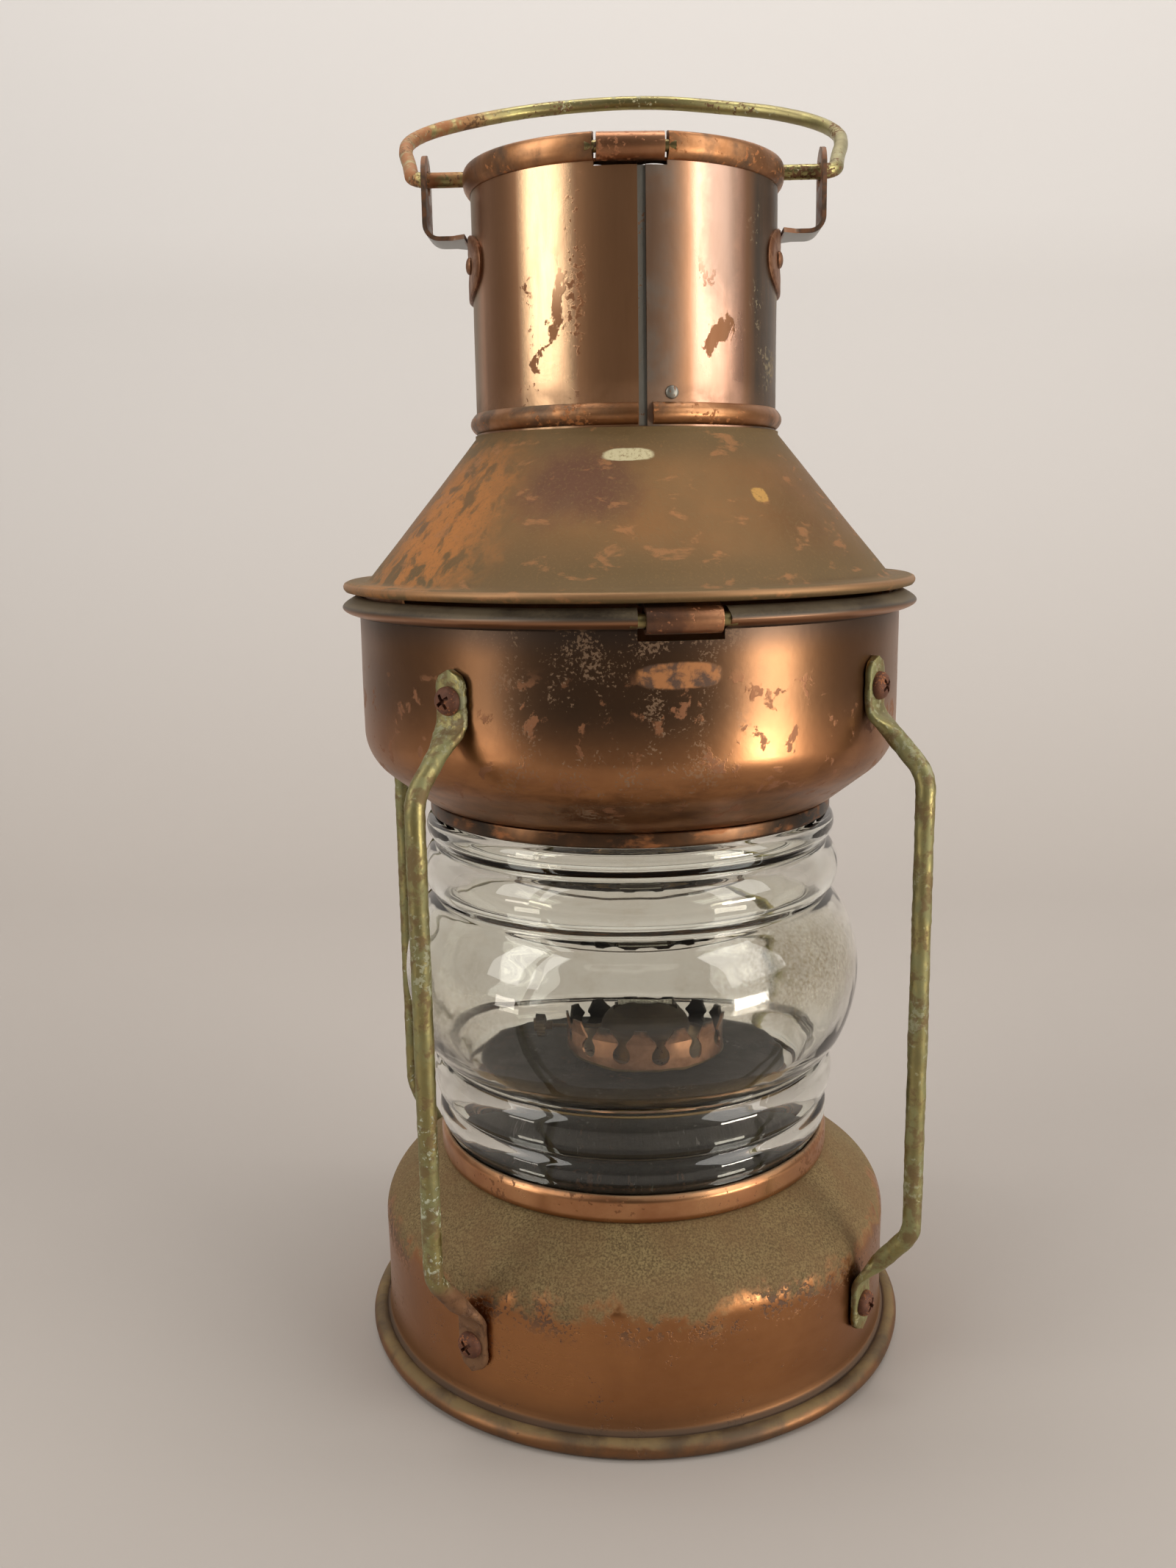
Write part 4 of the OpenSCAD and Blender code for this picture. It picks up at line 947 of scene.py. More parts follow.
def bail_finish():
    """The same brass, cleaner, rusty at the left end."""
    f = Finish("bail_brass", (0.36, 0.315, 0.13), 0.33)
    tone = f.mask("blotches", Size=10.0, Amount=0.5, Edge=0.15, Seed=4.0)
    f.layer(tone, (0.26, 0.22, 0.10), 0.42, 0.9)
    xyz = f.add("ShaderNodeSeparateXYZ", {"Vector": f.place}).outputs
    left = f.ramp(xyz["X"], -38.0, -58.0)
    rust = f.mask("blotches", Size=5.0, Amount=0.62, Edge=0.1, Seed=14.0)
    f.layer(f.both(left, rust), (0.36, 0.155, 0.06), 0.65, 0.5, 0.04)
    specks = f.mask("pits", Size=1.3, Amount=0.58, Seed=5.0)
    f.layer(specks, (0.17, 0.085, 0.035), 0.7, 0.4, 0.05)
    pale = f.mask("pits", Size=1.5, Amount=0.44, Seed=15.0)
    f.layer(pale, (0.40, 0.38, 0.24), 0.8, 0.1, 0.06)
    f.layer(f.noise(f.place, 1.5, 4.0), height=0.06)
    return f.done(0.6)


def brass_finish(name, colour, soot=0.0):
    """Dull brass of a colour; soot is how black its upper part is."""
    f = Finish(name, colour, 0.36)
    tone = f.mask("blotches", Size=9.0, Amount=0.5, Edge=0.2, Seed=4.0)
    f.layer(f.math("MULTIPLY", tone, 0.8), tuple(c * 0.55 for c in colour), 0.4)
    specks = f.mask("pits", Size=1.1, Amount=0.46, Seed=5.0)
    f.layer(specks, (0.10, 0.055, 0.03), 0.7, 0.4, 0.04)
    if soot:
        black = f.ramp(f.z, 96.0, 103.0)
        f.layer(f.math("MULTIPLY", black, soot), (0.022, 0.018, 0.016), 0.75, 0.3)
    f.layer(f.noise(f.place, 1.5, 3.0), height=0.05)
    return f.done(0.5)


def crown_finish():
    """Heat-pinked copper, sooty at the tips and on the far side."""
    f = Finish("crown_copper", (0.55, 0.29, 0.17), 0.34)
    tone = f.mask("blotches", Size=7.0, Amount=0.5, Edge=0.2, Seed=4.0)
    f.layer(tone, (0.34, 0.165, 0.09), 0.42)
    cloud = f.noise(f.place, 0.11, 4.0, 0.6)
    level = f.math("ADD", f.z, f.math("MULTIPLY", f.math("SUBTRACT", cloud, 0.5), 14.0))
    far_side = f.ramp(f.math("ABSOLUTE", f.angle), 62.0, 88.0)
    sooty = f.math("MAXIMUM", f.ramp(level, 103.5, 109.0), far_side)
    f.layer(sooty, (0.03, 0.024, 0.018), 0.6, 0.5)
    grey = f.both(f.ramp(level, 105.0, 109.0), f.mask("blotches", Size=5.0, Amount=0.5, Edge=0.2, Seed=9.0))
    f.layer(f.math("MULTIPLY", grey, 0.3), (0.16, 0.12, 0.085), 0.6, 0.5)
    return f.done(0.4)


def rusty_finish():
    """Steel rusted right through."""
    f = Finish("rusty_steel", (0.15, 0.058, 0.03), 0.6, 0.45)
    tone = f.mask("blotches", Size=2.4, Amount=0.5, Edge=0.2, Seed=4.0)
    f.layer(tone, (0.085, 0.032, 0.018), 0.7, 0.3, 0.05)
    orange = f.mask("pits", Size=0.7, Amount=0.6, Seed=8.0)
    f.layer(orange, (0.30, 0.105, 0.035), 0.8, 0.1, 0.08)
    f.layer(f.noise(f.place, 2.2, 4.0), height=0.12)
    return f.done(0.7)


def ear_finish():
    """Brown bracket, grey underneath, on a copper-coloured pad."""
    f = Finish("ear_steel", (0.20, 0.135, 0.095), 0.42, 0.9)
    tone = f.mask("blotches", Size=8.0, Amount=0.5, Edge=0.15, Seed=4.0)
    f.layer(tone, (0.13, 0.085, 0.06), 0.5, 0.8)
    rust = f.mask("blotches", Size=3.5, Amount=0.5, Edge=0.08, Seed=24.0)
    f.layer(f.math("MULTIPLY", rust, 0.8), (0.235, 0.10, 0.045), 0.7, 0.4, 0.05)
    normal = f.add("ShaderNodeNewGeometry").outputs["Normal"]
    down = f.add("ShaderNodeSeparateXYZ", {"Vector": normal}).outputs["Z"]
    f.layer(f.ramp(down, -0.4, -0.8), (0.30, 0.30, 0.29), 0.4, 0.9)
    pad = f.ramp(f.distance, 48.6, 48.0)
    f.layer(f.math("MULTIPLY", pad, 0.85), f.mix(rust, (0.30, 0.145, 0.075), (0.17, 0.07, 0.032)), 0.46, 0.85)
    f.layer(f.noise(f.place, 1.5, 4.0), height=0.06)
    return f.done(0.6)


def tin_finish():
    """Grey tinned sheet with rust specks."""
    f = Finish("tinned_sheet", (0.30, 0.29, 0.255), 0.42, 0.9)
    tone = f.mask("blotches", Size=7.0, Amount=0.5, Edge=0.2, Tall=3.0, Seed=4.0)
    f.layer(tone, (0.19, 0.18, 0.155), 0.5, 0.8)
    rust = f.mask("pits", Size=1.2, Amount=0.5, Seed=8.0)
    f.layer(rust, (0.20, 0.10, 0.05), 0.7, 0.3)
    return f.done(0.4)


def soot_finish():
    """Black soot with a little rust and ash."""
    f = Finish("sooty_steel", (0.012, 0.011, 0.009), 0.8, 0.2)
    tone = f.mask("blotches", Size=9.0, Amount=0.5, Edge=0.2, Seed=4.0)
    f.layer(tone, (0.026, 0.021, 0.015), 0.65, 0.3)
    rust = f.mask("pits", Size=1.6, Amount=0.46, Seed=8.0)
    f.layer(rust, (0.075, 0.036, 0.02), 0.8, 0.2, 0.1)
    ash = f.mask("pits", Size=1.0, Amount=0.4, Seed=18.0)
    f.layer(ash, (0.10, 0.09, 0.08), 0.9, 0.0, 0.08)
    f.layer(f.noise(f.place, 0.8, 5.0), height=0.2)
    return f.done(0.8)


def cork_finish():
    """Dark, matt and pitted."""
    f = Finish("gasket", (0.13, 0.085, 0.05), 0.85, 0.0)
    f.layer(f.mask("pits", Size=0.8, Amount=0.5, Seed=8.0), (0.06, 0.04, 0.025), 0.9)
    return f.done(0.3)


def wick_finish():
    """Woven cotton, charred at its tip."""
    f = Finish("wick_cotton", (0.55, 0.50, 0.40), 0.95, 0.0)
    xyz = f.add("ShaderNodeSeparateXYZ", {"Vector": f.place}).outputs
    ribs = f.math("SINE", f.math("MULTIPLY", xyz["X"], 5.5))
    ply = f.math("SINE", f.math("ADD", f.math("MULTIPLY", xyz["Z"], 7.0), f.math("MULTIPLY", xyz["X"], 3.0)))
    weave = f.ramp(f.math("ADD", ribs, ply), -1.6, 1.6)
    f.layer(weave, (0.66, 0.62, 0.52), height=0.25)
    char = f.ramp(f.math("ADD", f.z, f.math("MULTIPLY", f.noise(f.place, 0.5, 3.0), 3.0)), 115.0, 118.0)
    f.layer(char, (0.02, 0.017, 0.015), 0.95)
    return f.done(0.8)


# %% Dusty glass
def glass_finish():
    """Clear glass with a thin haze and two dusty patches; its metal and transmission are plain."""
    f = Finish("lens_glass", (0.92, 0.93, 0.87), 0.03, 0.0)
    cloud = f.noise(f.place, 0.05, 4.0, 0.6, 0.4)
    grain = f.noise(f.place, 0.9, 3.0, 0.7)
    level = f.math("ADD", cloud, f.math("MULTIPLY", f.math("SUBTRACT", grain, 0.5), 0.35))
    haze = f.ramp(level, 0.50, 0.82)
    right_patch = f.zone(52.0, 136.0, 26.0, 12.0, 0.8, 0.6)
    left_patch = f.zone(-52.0, 118.0, 20.0, 16.0, 0.8, 0.6)
    spots = f.math("MAXIMUM", right_patch, f.math("MULTIPLY", left_patch, 0.6))
    dusty = f.math("MAXIMUM", f.math("MULTIPLY", haze, 0.35), f.both(spots, f.ramp(grain, 0.30, 0.72)))
    f.colour = f.mix(dusty, (0.93, 0.94, 0.89), (0.60, 0.50, 0.35))
    f.rough = f.math("ADD", 0.012, f.math("MULTIPLY", dusty, 0.22))
    f.tree.links.new(f.colour, f.shader.inputs["Base Color"])
    f.tree.links.new(f.rough, f.shader.inputs["Roughness"])
    ripple = f.noise(f.place, 0.045, 2.0)
    relief = f.add("ShaderNodeBump", {"Height": ripple, "Strength": 0.25, "Distance": MM})
    f.tree.links.new(relief.outputs[0], f.shader.inputs["Normal"])
    f.shader.inputs["Metallic"].default_value = 0.0
    f.shader.inputs["Transmission Weight"].default_value = 1.0
    f.shader.inputs["IOR"].default_value = 1.5
    return f.material


FINISH = {
    "base": base_finish(), "bowl": bowl_finish(), "lid": lid_finish(), "chimney": chimney_finish(),
    "trim": trim_finish(), "strap": strap_finish(), "neck": neck_finish(), "seat": seat_finish(),
    "rod": rod_finish(), "bail": bail_finish(), "rust": rusty_finish(), "ear": ear_finish(),
    "tin": tin_finish(), "soot": soot_finish(), "cork": cork_finish(), "wick": wick_finish(),
    "glass": glass_finish(), "crown": crown_finish(),
    "pin": brass_finish("pin_brass", (0.36, 0.29, 0.13)),
    "burner": brass_finish("burner_brass", (0.33, 0.22, 0.11), soot=0.85),
}
print("finishes:", len(FINISH))

# %% [markdown]
# ## Base
# The base is one sheet: flat under the lens, down a slope, round a corner and down the wall to a
# wire bead it is rolled round. A closed outline turned about the axis makes it, and a faint
# low dent keeps its reflections from looking machined.


# %% Base shell
def dish_outline(corner, flip):
    """Outer and inner points of the slope and corner, from the neck to the wall; flip puts the
    wall above the neck."""
    slope = math.radians(DISH_SLOPE)
    end = WALL_R - corner + corner * math.sin(slope)
    drop = (end - NECK_R) * math.tan(slope)
    down = corner * math.cos(slope)
    sign = 1 if flip else -1
    z0 = NECK_Z if flip else BASE_H
    zc = z0 + sign * (drop + down)
    a = 90 - DISH_SLOPE
    outer = [(r, zc - sign * (z - zc)) for r, z in arc(WALL_R - corner, zc, corner, a, 0, 14)]
    inner = [(r, zc - sign * (z - zc)) for r, z in arc(WALL_R - corner, zc, corner - SHEET, 0, a, 14)]
    k = SHEET * math.tan(slope / 2)
    steps = 8
    lead = [(NECK_R + (outer[0][0] - NECK_R) * i / steps, z0 + (outer[0][1] - z0) * i / steps)
            for i in range(1, steps)]
    outer = [(SEAT_R, z0), (NECK_R - 1.2, z0), (NECK_R, z0 + sign * 0.3)] + lead + outer
    inner = inner + [(NECK_R - k, z0 + sign * SHEET), (SEAT_R, z0 + sign * SHEET)]
    return outer, inner


def base_outline():
    """The whole section: dish, wall, trough, rolled foot and the inside again."""
    outer, inner = dish_outline(BASE_CORNER, False)
    outer = [(r, z) if z <= BASE_H else (r, BASE_H) for r, z in outer]
    wall = [(WALL_R, z) for z in (38.0, 30.0, 22.0, 14.0, 9.0)]
    trough = [(WALL_R + 0.15, 7.6), (WALL_R + 0.5, 6.3), (WALL_R + 1.1, 5.5)]
    bead_x, bead_z, bead_r = WALL_R + 3.0, 2.75, 2.9
    bead = arc(bead_x, bead_z, bead_r, 128, -66, 16) + [(WALL_R + 1.7, 0.0)]
    bead += arc(bead_x, bead_z, bead_r, -118, -196, 7)
    inside = [(WALL_R - 0.6, 5.2), (WALL_R - SHEET, 8.4), (WALL_R - SHEET, 20.0)]
    return outer + wall + trough + bead + inside + inner


base = spun("base_body", base_outline(), dent=0.45, seed=3.0)
dressed(base, FINISH["base"], "lantern", "base_shell")

seat = spun("lens_seat_ring", rounded([
    (SEAT_R, BASE_H), (NECK_R, BASE_H), (NECK_R + 0.5, BASE_H + 1.6), (NECK_R + 0.5, BASE_H + 7.0),
    (NECK_R - 0.6, BASE_H + 8.6), (COLLAR_IN, BASE_H + 8.4), (COLLAR_IN, BASE_H + SHEET),
    (SEAT_R, BASE_H + SHEET)], 0.8),
    dent=0.3, seed=5.0)
dressed(seat, FINISH["seat"], "lantern", "lens_seat")

# %% [markdown]
# ## Bowl and neck
# The bowl is the base turned over, but its bead is cut away for the lid hinge. The turning helper
# leaves that window out and closes its three cut faces, so the sheet's edge is really there.


# %% Bowl shell
NOTCH_FOOT = 238.0   # lowest point of the hinge notch


def bowl_outline():
    """The whole section: dish, wall, bead, lip and the inside again."""
    outer, inner = dish_outline(BOWL_CORNER, True)
    z = BEAD_Z
    wall = [(WALL_R, h) for h in (212.0, 220.0, 228.0, 234.0, NOTCH_FOOT, z - 2.9)]
    bead = smoothed([(WALL_R + 0.5, z - 2.5), (BEAD_R - 2.6, z - 1.9), (BEAD_R - 0.7, z - 1.0), (BEAD_R, z),
                     (BEAD_R - 0.5, z + 1.0), (WALL_R + 3.2, z + 2.1), (WALL_R + 1.2, z + 3.2)], 3)
    lip = [(WALL_R + 0.4, z + 3.3), (WALL_R - 0.4, z + 3.3), (WALL_R - SHEET, z + 2.7)]
    inside = [(WALL_R - SHEET, h) for h in (z - 2.9, NOTCH_FOOT, 230.0, 218.0)]
    return outer + wall + bead + lip + inside + inner


bowl = spun("bowl_body", bowl_outline(), dent=0.4, seed=8.0, windows=[
    (HINGE_AZ - HINGE_GAP, HINGE_AZ + HINGE_GAP, lambda _, z: z < NOTCH_FOOT + 0.01)])
dressed(bowl, FINISH["bowl"], "lantern", "bowl_shell")

neck = spun("neck_ring", rounded([
    (SEAT_R, NECK_Z), (NECK_R, NECK_Z), (NECK_R, NECK_Z - 3.9), (NECK_R - 0.5, NECK_Z - 4.6),
    (COLLAR_IN, NECK_Z - 4.5), (COLLAR_IN, NECK_Z - SHEET), (SEAT_R, NECK_Z - SHEET)], 0.6),
    dent=0.2, seed=5.0)
dressed(neck, FINISH["neck"], "lantern", "neck_collar")

# %% [markdown]
# ## Lens
# Pressed glass has soft ribs and a full belly outside and is smooth inside. Both faces are curves
# through a few heights, joined into one closed wall, which is what makes it bend light properly.


# %% Lens
def lens_outline():
    """Both faces of the glass: steps out from the foot's radius at heights from the belly."""
    foot, rim = BASE_H + 1.6, NECK_Z - 1.6
    zm = (BASE_H + NECK_Z) / 2 + 2
    up, lo = (NECK_Z - 4.6 - zm) / 52.6, (zm - BASE_H - 8.6) / 53.5
    g = GLASS_R
    low = [(0.0, -53.4), (0.6, -52.3), (1.8, -50.4), (2.3, -48.2), (1.9, -45.6), (0.5, -43.7), (0.4, -42.6),
           (2.4, -40.4), (3.5, -37), (3.8, -34), (3.3, -31), (1.7, -28.6), (1.3, -27.2), (3.0, -25.6),
           (5.6, -22.6), (7.8, -18.6), (9.7, -13.4), (11.1, -7.2), (11.8, 0)]
    high = [(11.2, 6.6), (9.8, 12.8), (7.8, 18.2), (5.3, 22), (2.9, 24.6), (1.4, 25.9), (1.9, 27.3),
            (4.0, 30.4), (4.7, 34.2), (4.3, 37.6), (2.6, 41), (0.6, 42.8), (0.9, 44.2), (2.7, 46.4),
            (3.2, 48.9), (2.3, 51.2), (0.0, 52.4)]
    outer = [(g, foot)] + smoothed([(g + d, zm + h * lo) for d, h in low]
                                   + [(g + d, zm + h * up) for d, h in high], 4) + [(g, rim)]
    # the inner face keeps an even distance from the belly
    within = [(-3.4, 35), (-2.9, 29), (-0.6, 23), (2.1, 19.5), (4.3, 15.7), (6.7, 10.8), (8.2, 5.8), (8.8, 0),
              (8.1, -6.4), (6.8, -12), (4.9, -16.8), (2.6, -20.6), (-0.2, -24.4), (-2.8, -29.6), (-3.4, -35)]
    inner = smoothed([(g - 3.4, rim)] + [(g + d, zm + h) for d, h in within] + [(g - 3.4, foot)], 4)
    return outer + inner


lens = spun("lens_glass_wall", lens_outline(), dent=0.25, seed=2.0, sharp=75)
dressed(lens, FINISH["glass"], "lantern", "lens")

# %% [markdown]
# ## Lid, chimney and their beads
# The cone and its rolled flange are one outline. The chimney is a tube with its seam left open:
# behind the slit shows the tinned sleeve. The low bead stops short on both sides of the seam.


# %% Lid cone
def cone_outline():
    """The rolled flange, the straight side, the neck round the chimney and the inside."""
    f = FLANGE_Z
    steps = 10
    narrowing, height = CHIMNEY_R + 1.0 - CONE_FOOT_R, CONE_TOP - CONE_FOOT
    side = [(CONE_FOOT_R + narrowing * i / steps, CONE_FOOT + height * i / steps) for i in range(1, steps)]
    flange = [(FLANGE_R - 1.8, f), (FLANGE_R - 0.7, f + 0.3), (FLANGE_R - 0.1, f + 1.1), (FLANGE_R, f + 1.9),
              (FLANGE_R - 0.4, f + 2.7), (FLANGE_R - 1.5, f + 3.2), (FLANGE_R - 5, f + 3.1),
              (CONE_FOOT_R + 0.6, f + 3.15), (CONE_FOOT_R - 0.4, f + 3.8)]
    neck = [(CHIMNEY_R + 0.8, CONE_TOP + 0.3), (CHIMNEY_R + 0.8, CONE_TOP + 1.2), (CHIMNEY_R, CONE_TOP + 1.2),
            (CHIMNEY_R, CONE_TOP - 0.9)]
    within = [(CONE_FOOT_R - 1.8, CONE_FOOT), (CONE_FOOT_R - 2.4, f)]
    return flange + side + neck + within


cone = spun("lid_body", cone_outline(), dent=0.5, seed=12.0, sharp=50)
dressed(cone, FINISH["lid"], "lid", "lid_cone")


# %% Chimney tube, seam and rim
SEAM_FOOT = CONE_TOP + 1.4
CAP_NOTCH = TOP_Z - 8.7   # lowest point of the notch for the cap's hinge


def tube_outline():
    """Both faces of the tube, with a point wherever a window may end."""
    inside = CHIMNEY_R - 0.8
    heights = [CONE_TOP - 6] + [SEAM_FOOT + (RIM_Z - SEAM_FOOT) * i / 9 for i in range(10)]
    heights = sorted(set(heights + [CAP_NOTCH, TOP_Z]))
    return [(CHIMNEY_R, z) for z in heights] + [(inside, z) for z in reversed(heights)]


def below_notch(_, z):
    """What a window at the cap's notch keeps."""
    return z < CAP_NOTCH + 0.1


def below_seam(_, z):
    """What the open seam keeps."""
    return z < SEAM_FOOT + 0.1


tube = spun("chimney_tube", tube_outline(), dent=0.25, seed=4.0, windows=[
    (CAP_AZ - CAP_GAP, SEAM_AZ, below_notch),
    (SEAM_AZ, SEAM_AZ + SEAM_GAP, below_seam),
    (SEAM_AZ + SEAM_GAP, CAP_AZ + CAP_GAP, below_notch)])
dressed(tube, FINISH["chimney"], "lid", "chimney_shell")

bead_mid = CONE_TOP + 4.8
low_bead = spun("chimney_low_bead", smoothed([(CHIMNEY_R + d, bead_mid + h) for d, h in (
    (0.02, -3.0), (0.75, -2.5), (1.65, -1.2), (1.9, 0.1), (1.5, 1.4), (0.6, 2.6), (0.02, 3.1))], 3),
    start=9.6, sweep=354.8, dent=0.25, seed=6.0)
dressed(low_bead, FINISH["trim"], "lid", "chimney_bead")

rim = spun("chimney_rim_bead", smoothed([(CHIMNEY_R + d, RIM_Z + h) for d, h in (
    (0.02, 0.0), (0.7, 0.3), (1.7, 1.8), (2.1, 4.0), (2.0, 5.8), (1.4, 7.0), (0.3, 7.4))], 3),
    start=CAP_AZ + CAP_GAP, sweep=360 - 2 * CAP_GAP, dent=0.3, seed=16.0)


def bar(x0, x1, y0, y1, z0, z1):
    """A plain block used only to cut with."""
    verts = [(x, y, z) for x in (x0, x1) for y in (y0, y1) for z in (z0, z1)]
    sides = [(0, 1, 3, 2), (4, 5, 7, 6), (0, 1, 5, 4), (2, 3, 7, 6), (0, 2, 6, 4), (1, 3, 7, 5)]
    return mesh_from("cutter", verts, sides)


def rod_along_x(x0, x1, z, r, sides=32):
    """A plain round bar along X, used only to cut with."""
    turns = [2 * math.pi * k / sides for k in range(sides)]
    verts = [(x, r * math.cos(a), z + r * math.sin(a)) for x in (x0, x1) for a in turns]
    ends = [tuple(range(sides)), tuple(range(sides, 2 * sides))]
    return mesh_from("cutter", verts, ring_faces(2, sides) + ends)


# the bail's wire lies in round notches, open at the top
for part in (tube, rim):
    cut_away(part, rod_along_x(-60, 60, PIVOT_Z, 2.45))
    cut_away(part, bar(-60, 60, -2.4, 2.4, PIVOT_Z, PIVOT_Z + 6))
dressed(rim, FINISH["trim"], "lid", "chimney_rim")

# %% [markdown]
# ## Hinge straps
# Each hinge is a strip of sheet curled round its pin. A spiral outline drawn out to the strap's
# width shows the sheet's edge at both ends.


# %% Curled straps
def curled_strap(name, width, az, at_r, at_z, roll, leaf_z, leaf_len, thick):
    """A strip that runs out from the middle, then curls down round a pin."""
    outer, inner = [], []
    turns = 40
    for i in range(turns + 1):
        a = math.radians(84 + 350 * i / turns)
        grow = roll - 0.1 * (1 - i / turns)
        outer.append((math.cos(a) * grow, math.sin(a) * grow))
        inner.append((math.cos(a) * (grow - thick), math.sin(a) * (grow - thick)))
    leaf_top = [(leaf_len, leaf_z + thick), (roll * 0.5, leaf_z + thick)]
    leaf_low = [(roll * 0.5, leaf_z), (leaf_len, leaf_z)]
    outline = leaf_top + outer + inner[::-1] + leaf_low
    verts = []
    n = len(outline)
    for x in (-width / 2, -width / 2 + 0.25, width / 2 - 0.25, width / 2):
        inset = 0.06 if abs(x) == width / 2 else 0
        for y, z in outline:
            k = 1 - inset / max(1.0, math.hypot(y, z))
            p = Vector((x, -at_r + y * k, at_z + z * k))
            verts.append(Matrix.Rotation(math.radians(az), 3, "Z") @ p)
    ends = [tuple(range(n)), tuple(3 * n + i for i in range(n))]
    return mesh_from(name, verts, ring_faces(4, n) + ends, 35)


lid_strap = curled_strap("lid_hinge_strap", 20.4, HINGE_AZ, 86.2, BEAD_Z, 3.7, 3.3, 11.0, 1.25)
dressed(lid_strap, FINISH["strap"], "lid", "lid_strap")
cap_strap = curled_strap("cap_hinge_strap", 18.6, CAP_AZ, 45.6, TOP_Z - 3.9, 3.8, -1.25, 12.0, 0.9)
dressed(cap_strap, FINISH["strap"], "cap", "cap_strap")


# %% [markdown]
# ## Guard rods
# Each rod is one length of brass: round in the middle, hammered flat at both ends and drilled.
# The section is carried along a smooth path and changes on the way from round to flat.


# %% Guard rods
def rod_path():
    """Points (radius, height) from the top tab down to the bottom tab."""
    t = WALL_R + 1.25
    out = ROD_OUT - t
    zu, zl = TOP_SCREW_Z - 9, LOW_SCREW_Z + 9
    knots = [(t, TOP_SCREW_Z + 8.5), (t, zu + 1.5), (ROD_OUT, zu - 2 - out * 0.82),
             (ROD_OUT, zl + 2 + out * 1.05), (t, zl - 1.0), (t, LOW_SCREW_Z - 9.0)]
    bends = [0, 7, 12, 12, 7, 0]
    points = [knots[0]]
    for i in range(1, 5):
        p = Vector(knots[i])
        a, b = Vector(knots[i - 1]) - p, Vector(knots[i + 1]) - p
        half = a.angle(b) / 2
        cut = min(bends[i] / math.tan(half), 0.48 * min(a.length, b.length))
        a, b = p + a.normalized() * cut, p + b.normalized() * cut
        for k in range(9):
            u = k / 8
            points.append(tuple(a * (1 - u) ** 2 + p * 2 * u * (1 - u) + b * u ** 2))
    points.append(knots[-1])
    fine = []
    for a, b in zip(points, points[1:]):
        a, b = Vector(a), Vector(b)
        n = max(1, int((b - a).length / 1.6))
        fine += [a.lerp(b, k / n) for k in range(n)]
    return fine + [Vector(points[-1])]


def guard_rod(index, az):
    """One rod: round wire between two flat tabs, uneven as hammered brass is."""
    line = rod_path()
    side = Vector((math.cos(math.radians(az)), math.sin(math.radians(az)), 0))
    path = [(polar(p[0], az, p[1]), side) for p in line]
    top, foot = line[0][1], line[-1][1]

    def shape(i):
        """Half width, half thickness and flatness at a step along the wire."""
        z = line[i][1]
        end = min(top - z, z - foot)
        flat = 1 - min(1.0, max(0.0, (line[i][0] - WALL_R - 2.2) / 6.0))
        flat = flat * flat * (3 - 2 * flat)
        wide = ROD_HALF + (TAB_HALF - ROD_HALF) * flat
        if end < TAB_HALF:
            wide = max(0.35, math.sqrt(max(0.0, TAB_HALF ** 2 - (TAB_HALF - end) ** 2)))
        thick = ROD_HALF + (TAB_THIN - ROD_HALF) * flat
        lump = 0.16 * noise.noise(path[i][0] * 0.11 + Vector((index * 9, 0, 0))) * (1 - flat)
        return wide + lump, thick + lump, flat

    def section(i, a):
        """A round or squarish outline, roughened."""
        wide, thick, flat = shape(i)
        e = 1 - 0.55 * flat
        c, s = math.cos(a), math.sin(a)
        u = wide * math.copysign(abs(c) ** e, c)
        v = thick * math.copysign(abs(s) ** e, s)
        rough = 0.07 * noise.noise((path[i][0] + Vector((u, v, index * 7))) * 0.55)
        return u * (1 + rough), v * (1 + rough * (1 - flat))

    rod = swept(f"guard_rod_{index + 1}_wire", path, section)
    print(f"rod {index + 1}: {len(line)} steps along the wire")
    return rod


for k, az in enumerate(ROD_AZ):
    dressed(guard_rod(k, az), FINISH["rod"], "lantern", f"guard_rod_{k + 1}")


# %% [markdown]
# ## Bail and ears
# The bail is one wire: its short ends lie in the rim's notches and pass the eyes of two bent ears.
# Its loop is two shoulder arcs and a flatter top arc. The ears are strips folded up from oval pads.


# %% Bail wire
def bail_path():
    """The wire's centre line: ends in the rim, two bends, a shoulder arc each side, a flat top arc."""
    w, length, bend = BAIL_HALF, BAIL_LEN, 6.0
    rc, link, t = w * 0.5, 0.6, math.radians(45)
    rt = (w - rc - link * math.cos(t)) / math.sin(t) + rc
    low = length - rt + (rt - rc) * math.cos(t) - link * math.sin(t)
    half = [(46.0 + 1.5 * i, 0.0) for i in range(9)]
    for a in [math.radians(d) for d in range(0, 90, 9)]:
        half.append((w - 5 - bend + bend * math.sin(a), bend - bend * math.cos(a)))
    half += smoothed([(w - 5, bend), (w - 3.4, low * 0.42), (w - 0.9, low * 0.75), (w, low)], 6)
    for a in [math.radians(d) for d in range(3, 46, 3)]:
        half.append((w - rc + rc * math.cos(a), low + rc * math.sin(a)))
    for a in [math.radians(d) for d in range(44, -1, -2)]:
        half.append((rt * math.sin(a), length - rt + rt * math.cos(a)))
    whole = half + [(-x, s) for x, s in reversed(half[:-1])]
    out = []
    for x, s in whole:
        p = Vector((x, s * math.sin(BAIL_LEAN), PIVOT_Z + s * math.cos(BAIL_LEAN)))
        if s > 8:
            p += Vector((0.7 * noise.noise(p * 0.02), 0, 0.5 * noise.noise(p * 0.03 + Vector((5, 0, 0)))))
        out.append(p)
    return out


bail_points = bail_path()
bail_normal = Vector((0, -math.cos(BAIL_LEAN), math.sin(BAIL_LEAN)))


def bail_section(i, a):
    """Round wire, a little uneven."""
    r = 2.22 + 0.05 * noise.noise(bail_points[i] * 0.3 + Vector((a, 0, 0)))
    return r * math.cos(a), r * math.sin(a)


bail = swept("bail_wire", [(p, bail_normal) for p in bail_points], bail_section)
dressed(bail, FINISH["bail"], "bail", "bail")


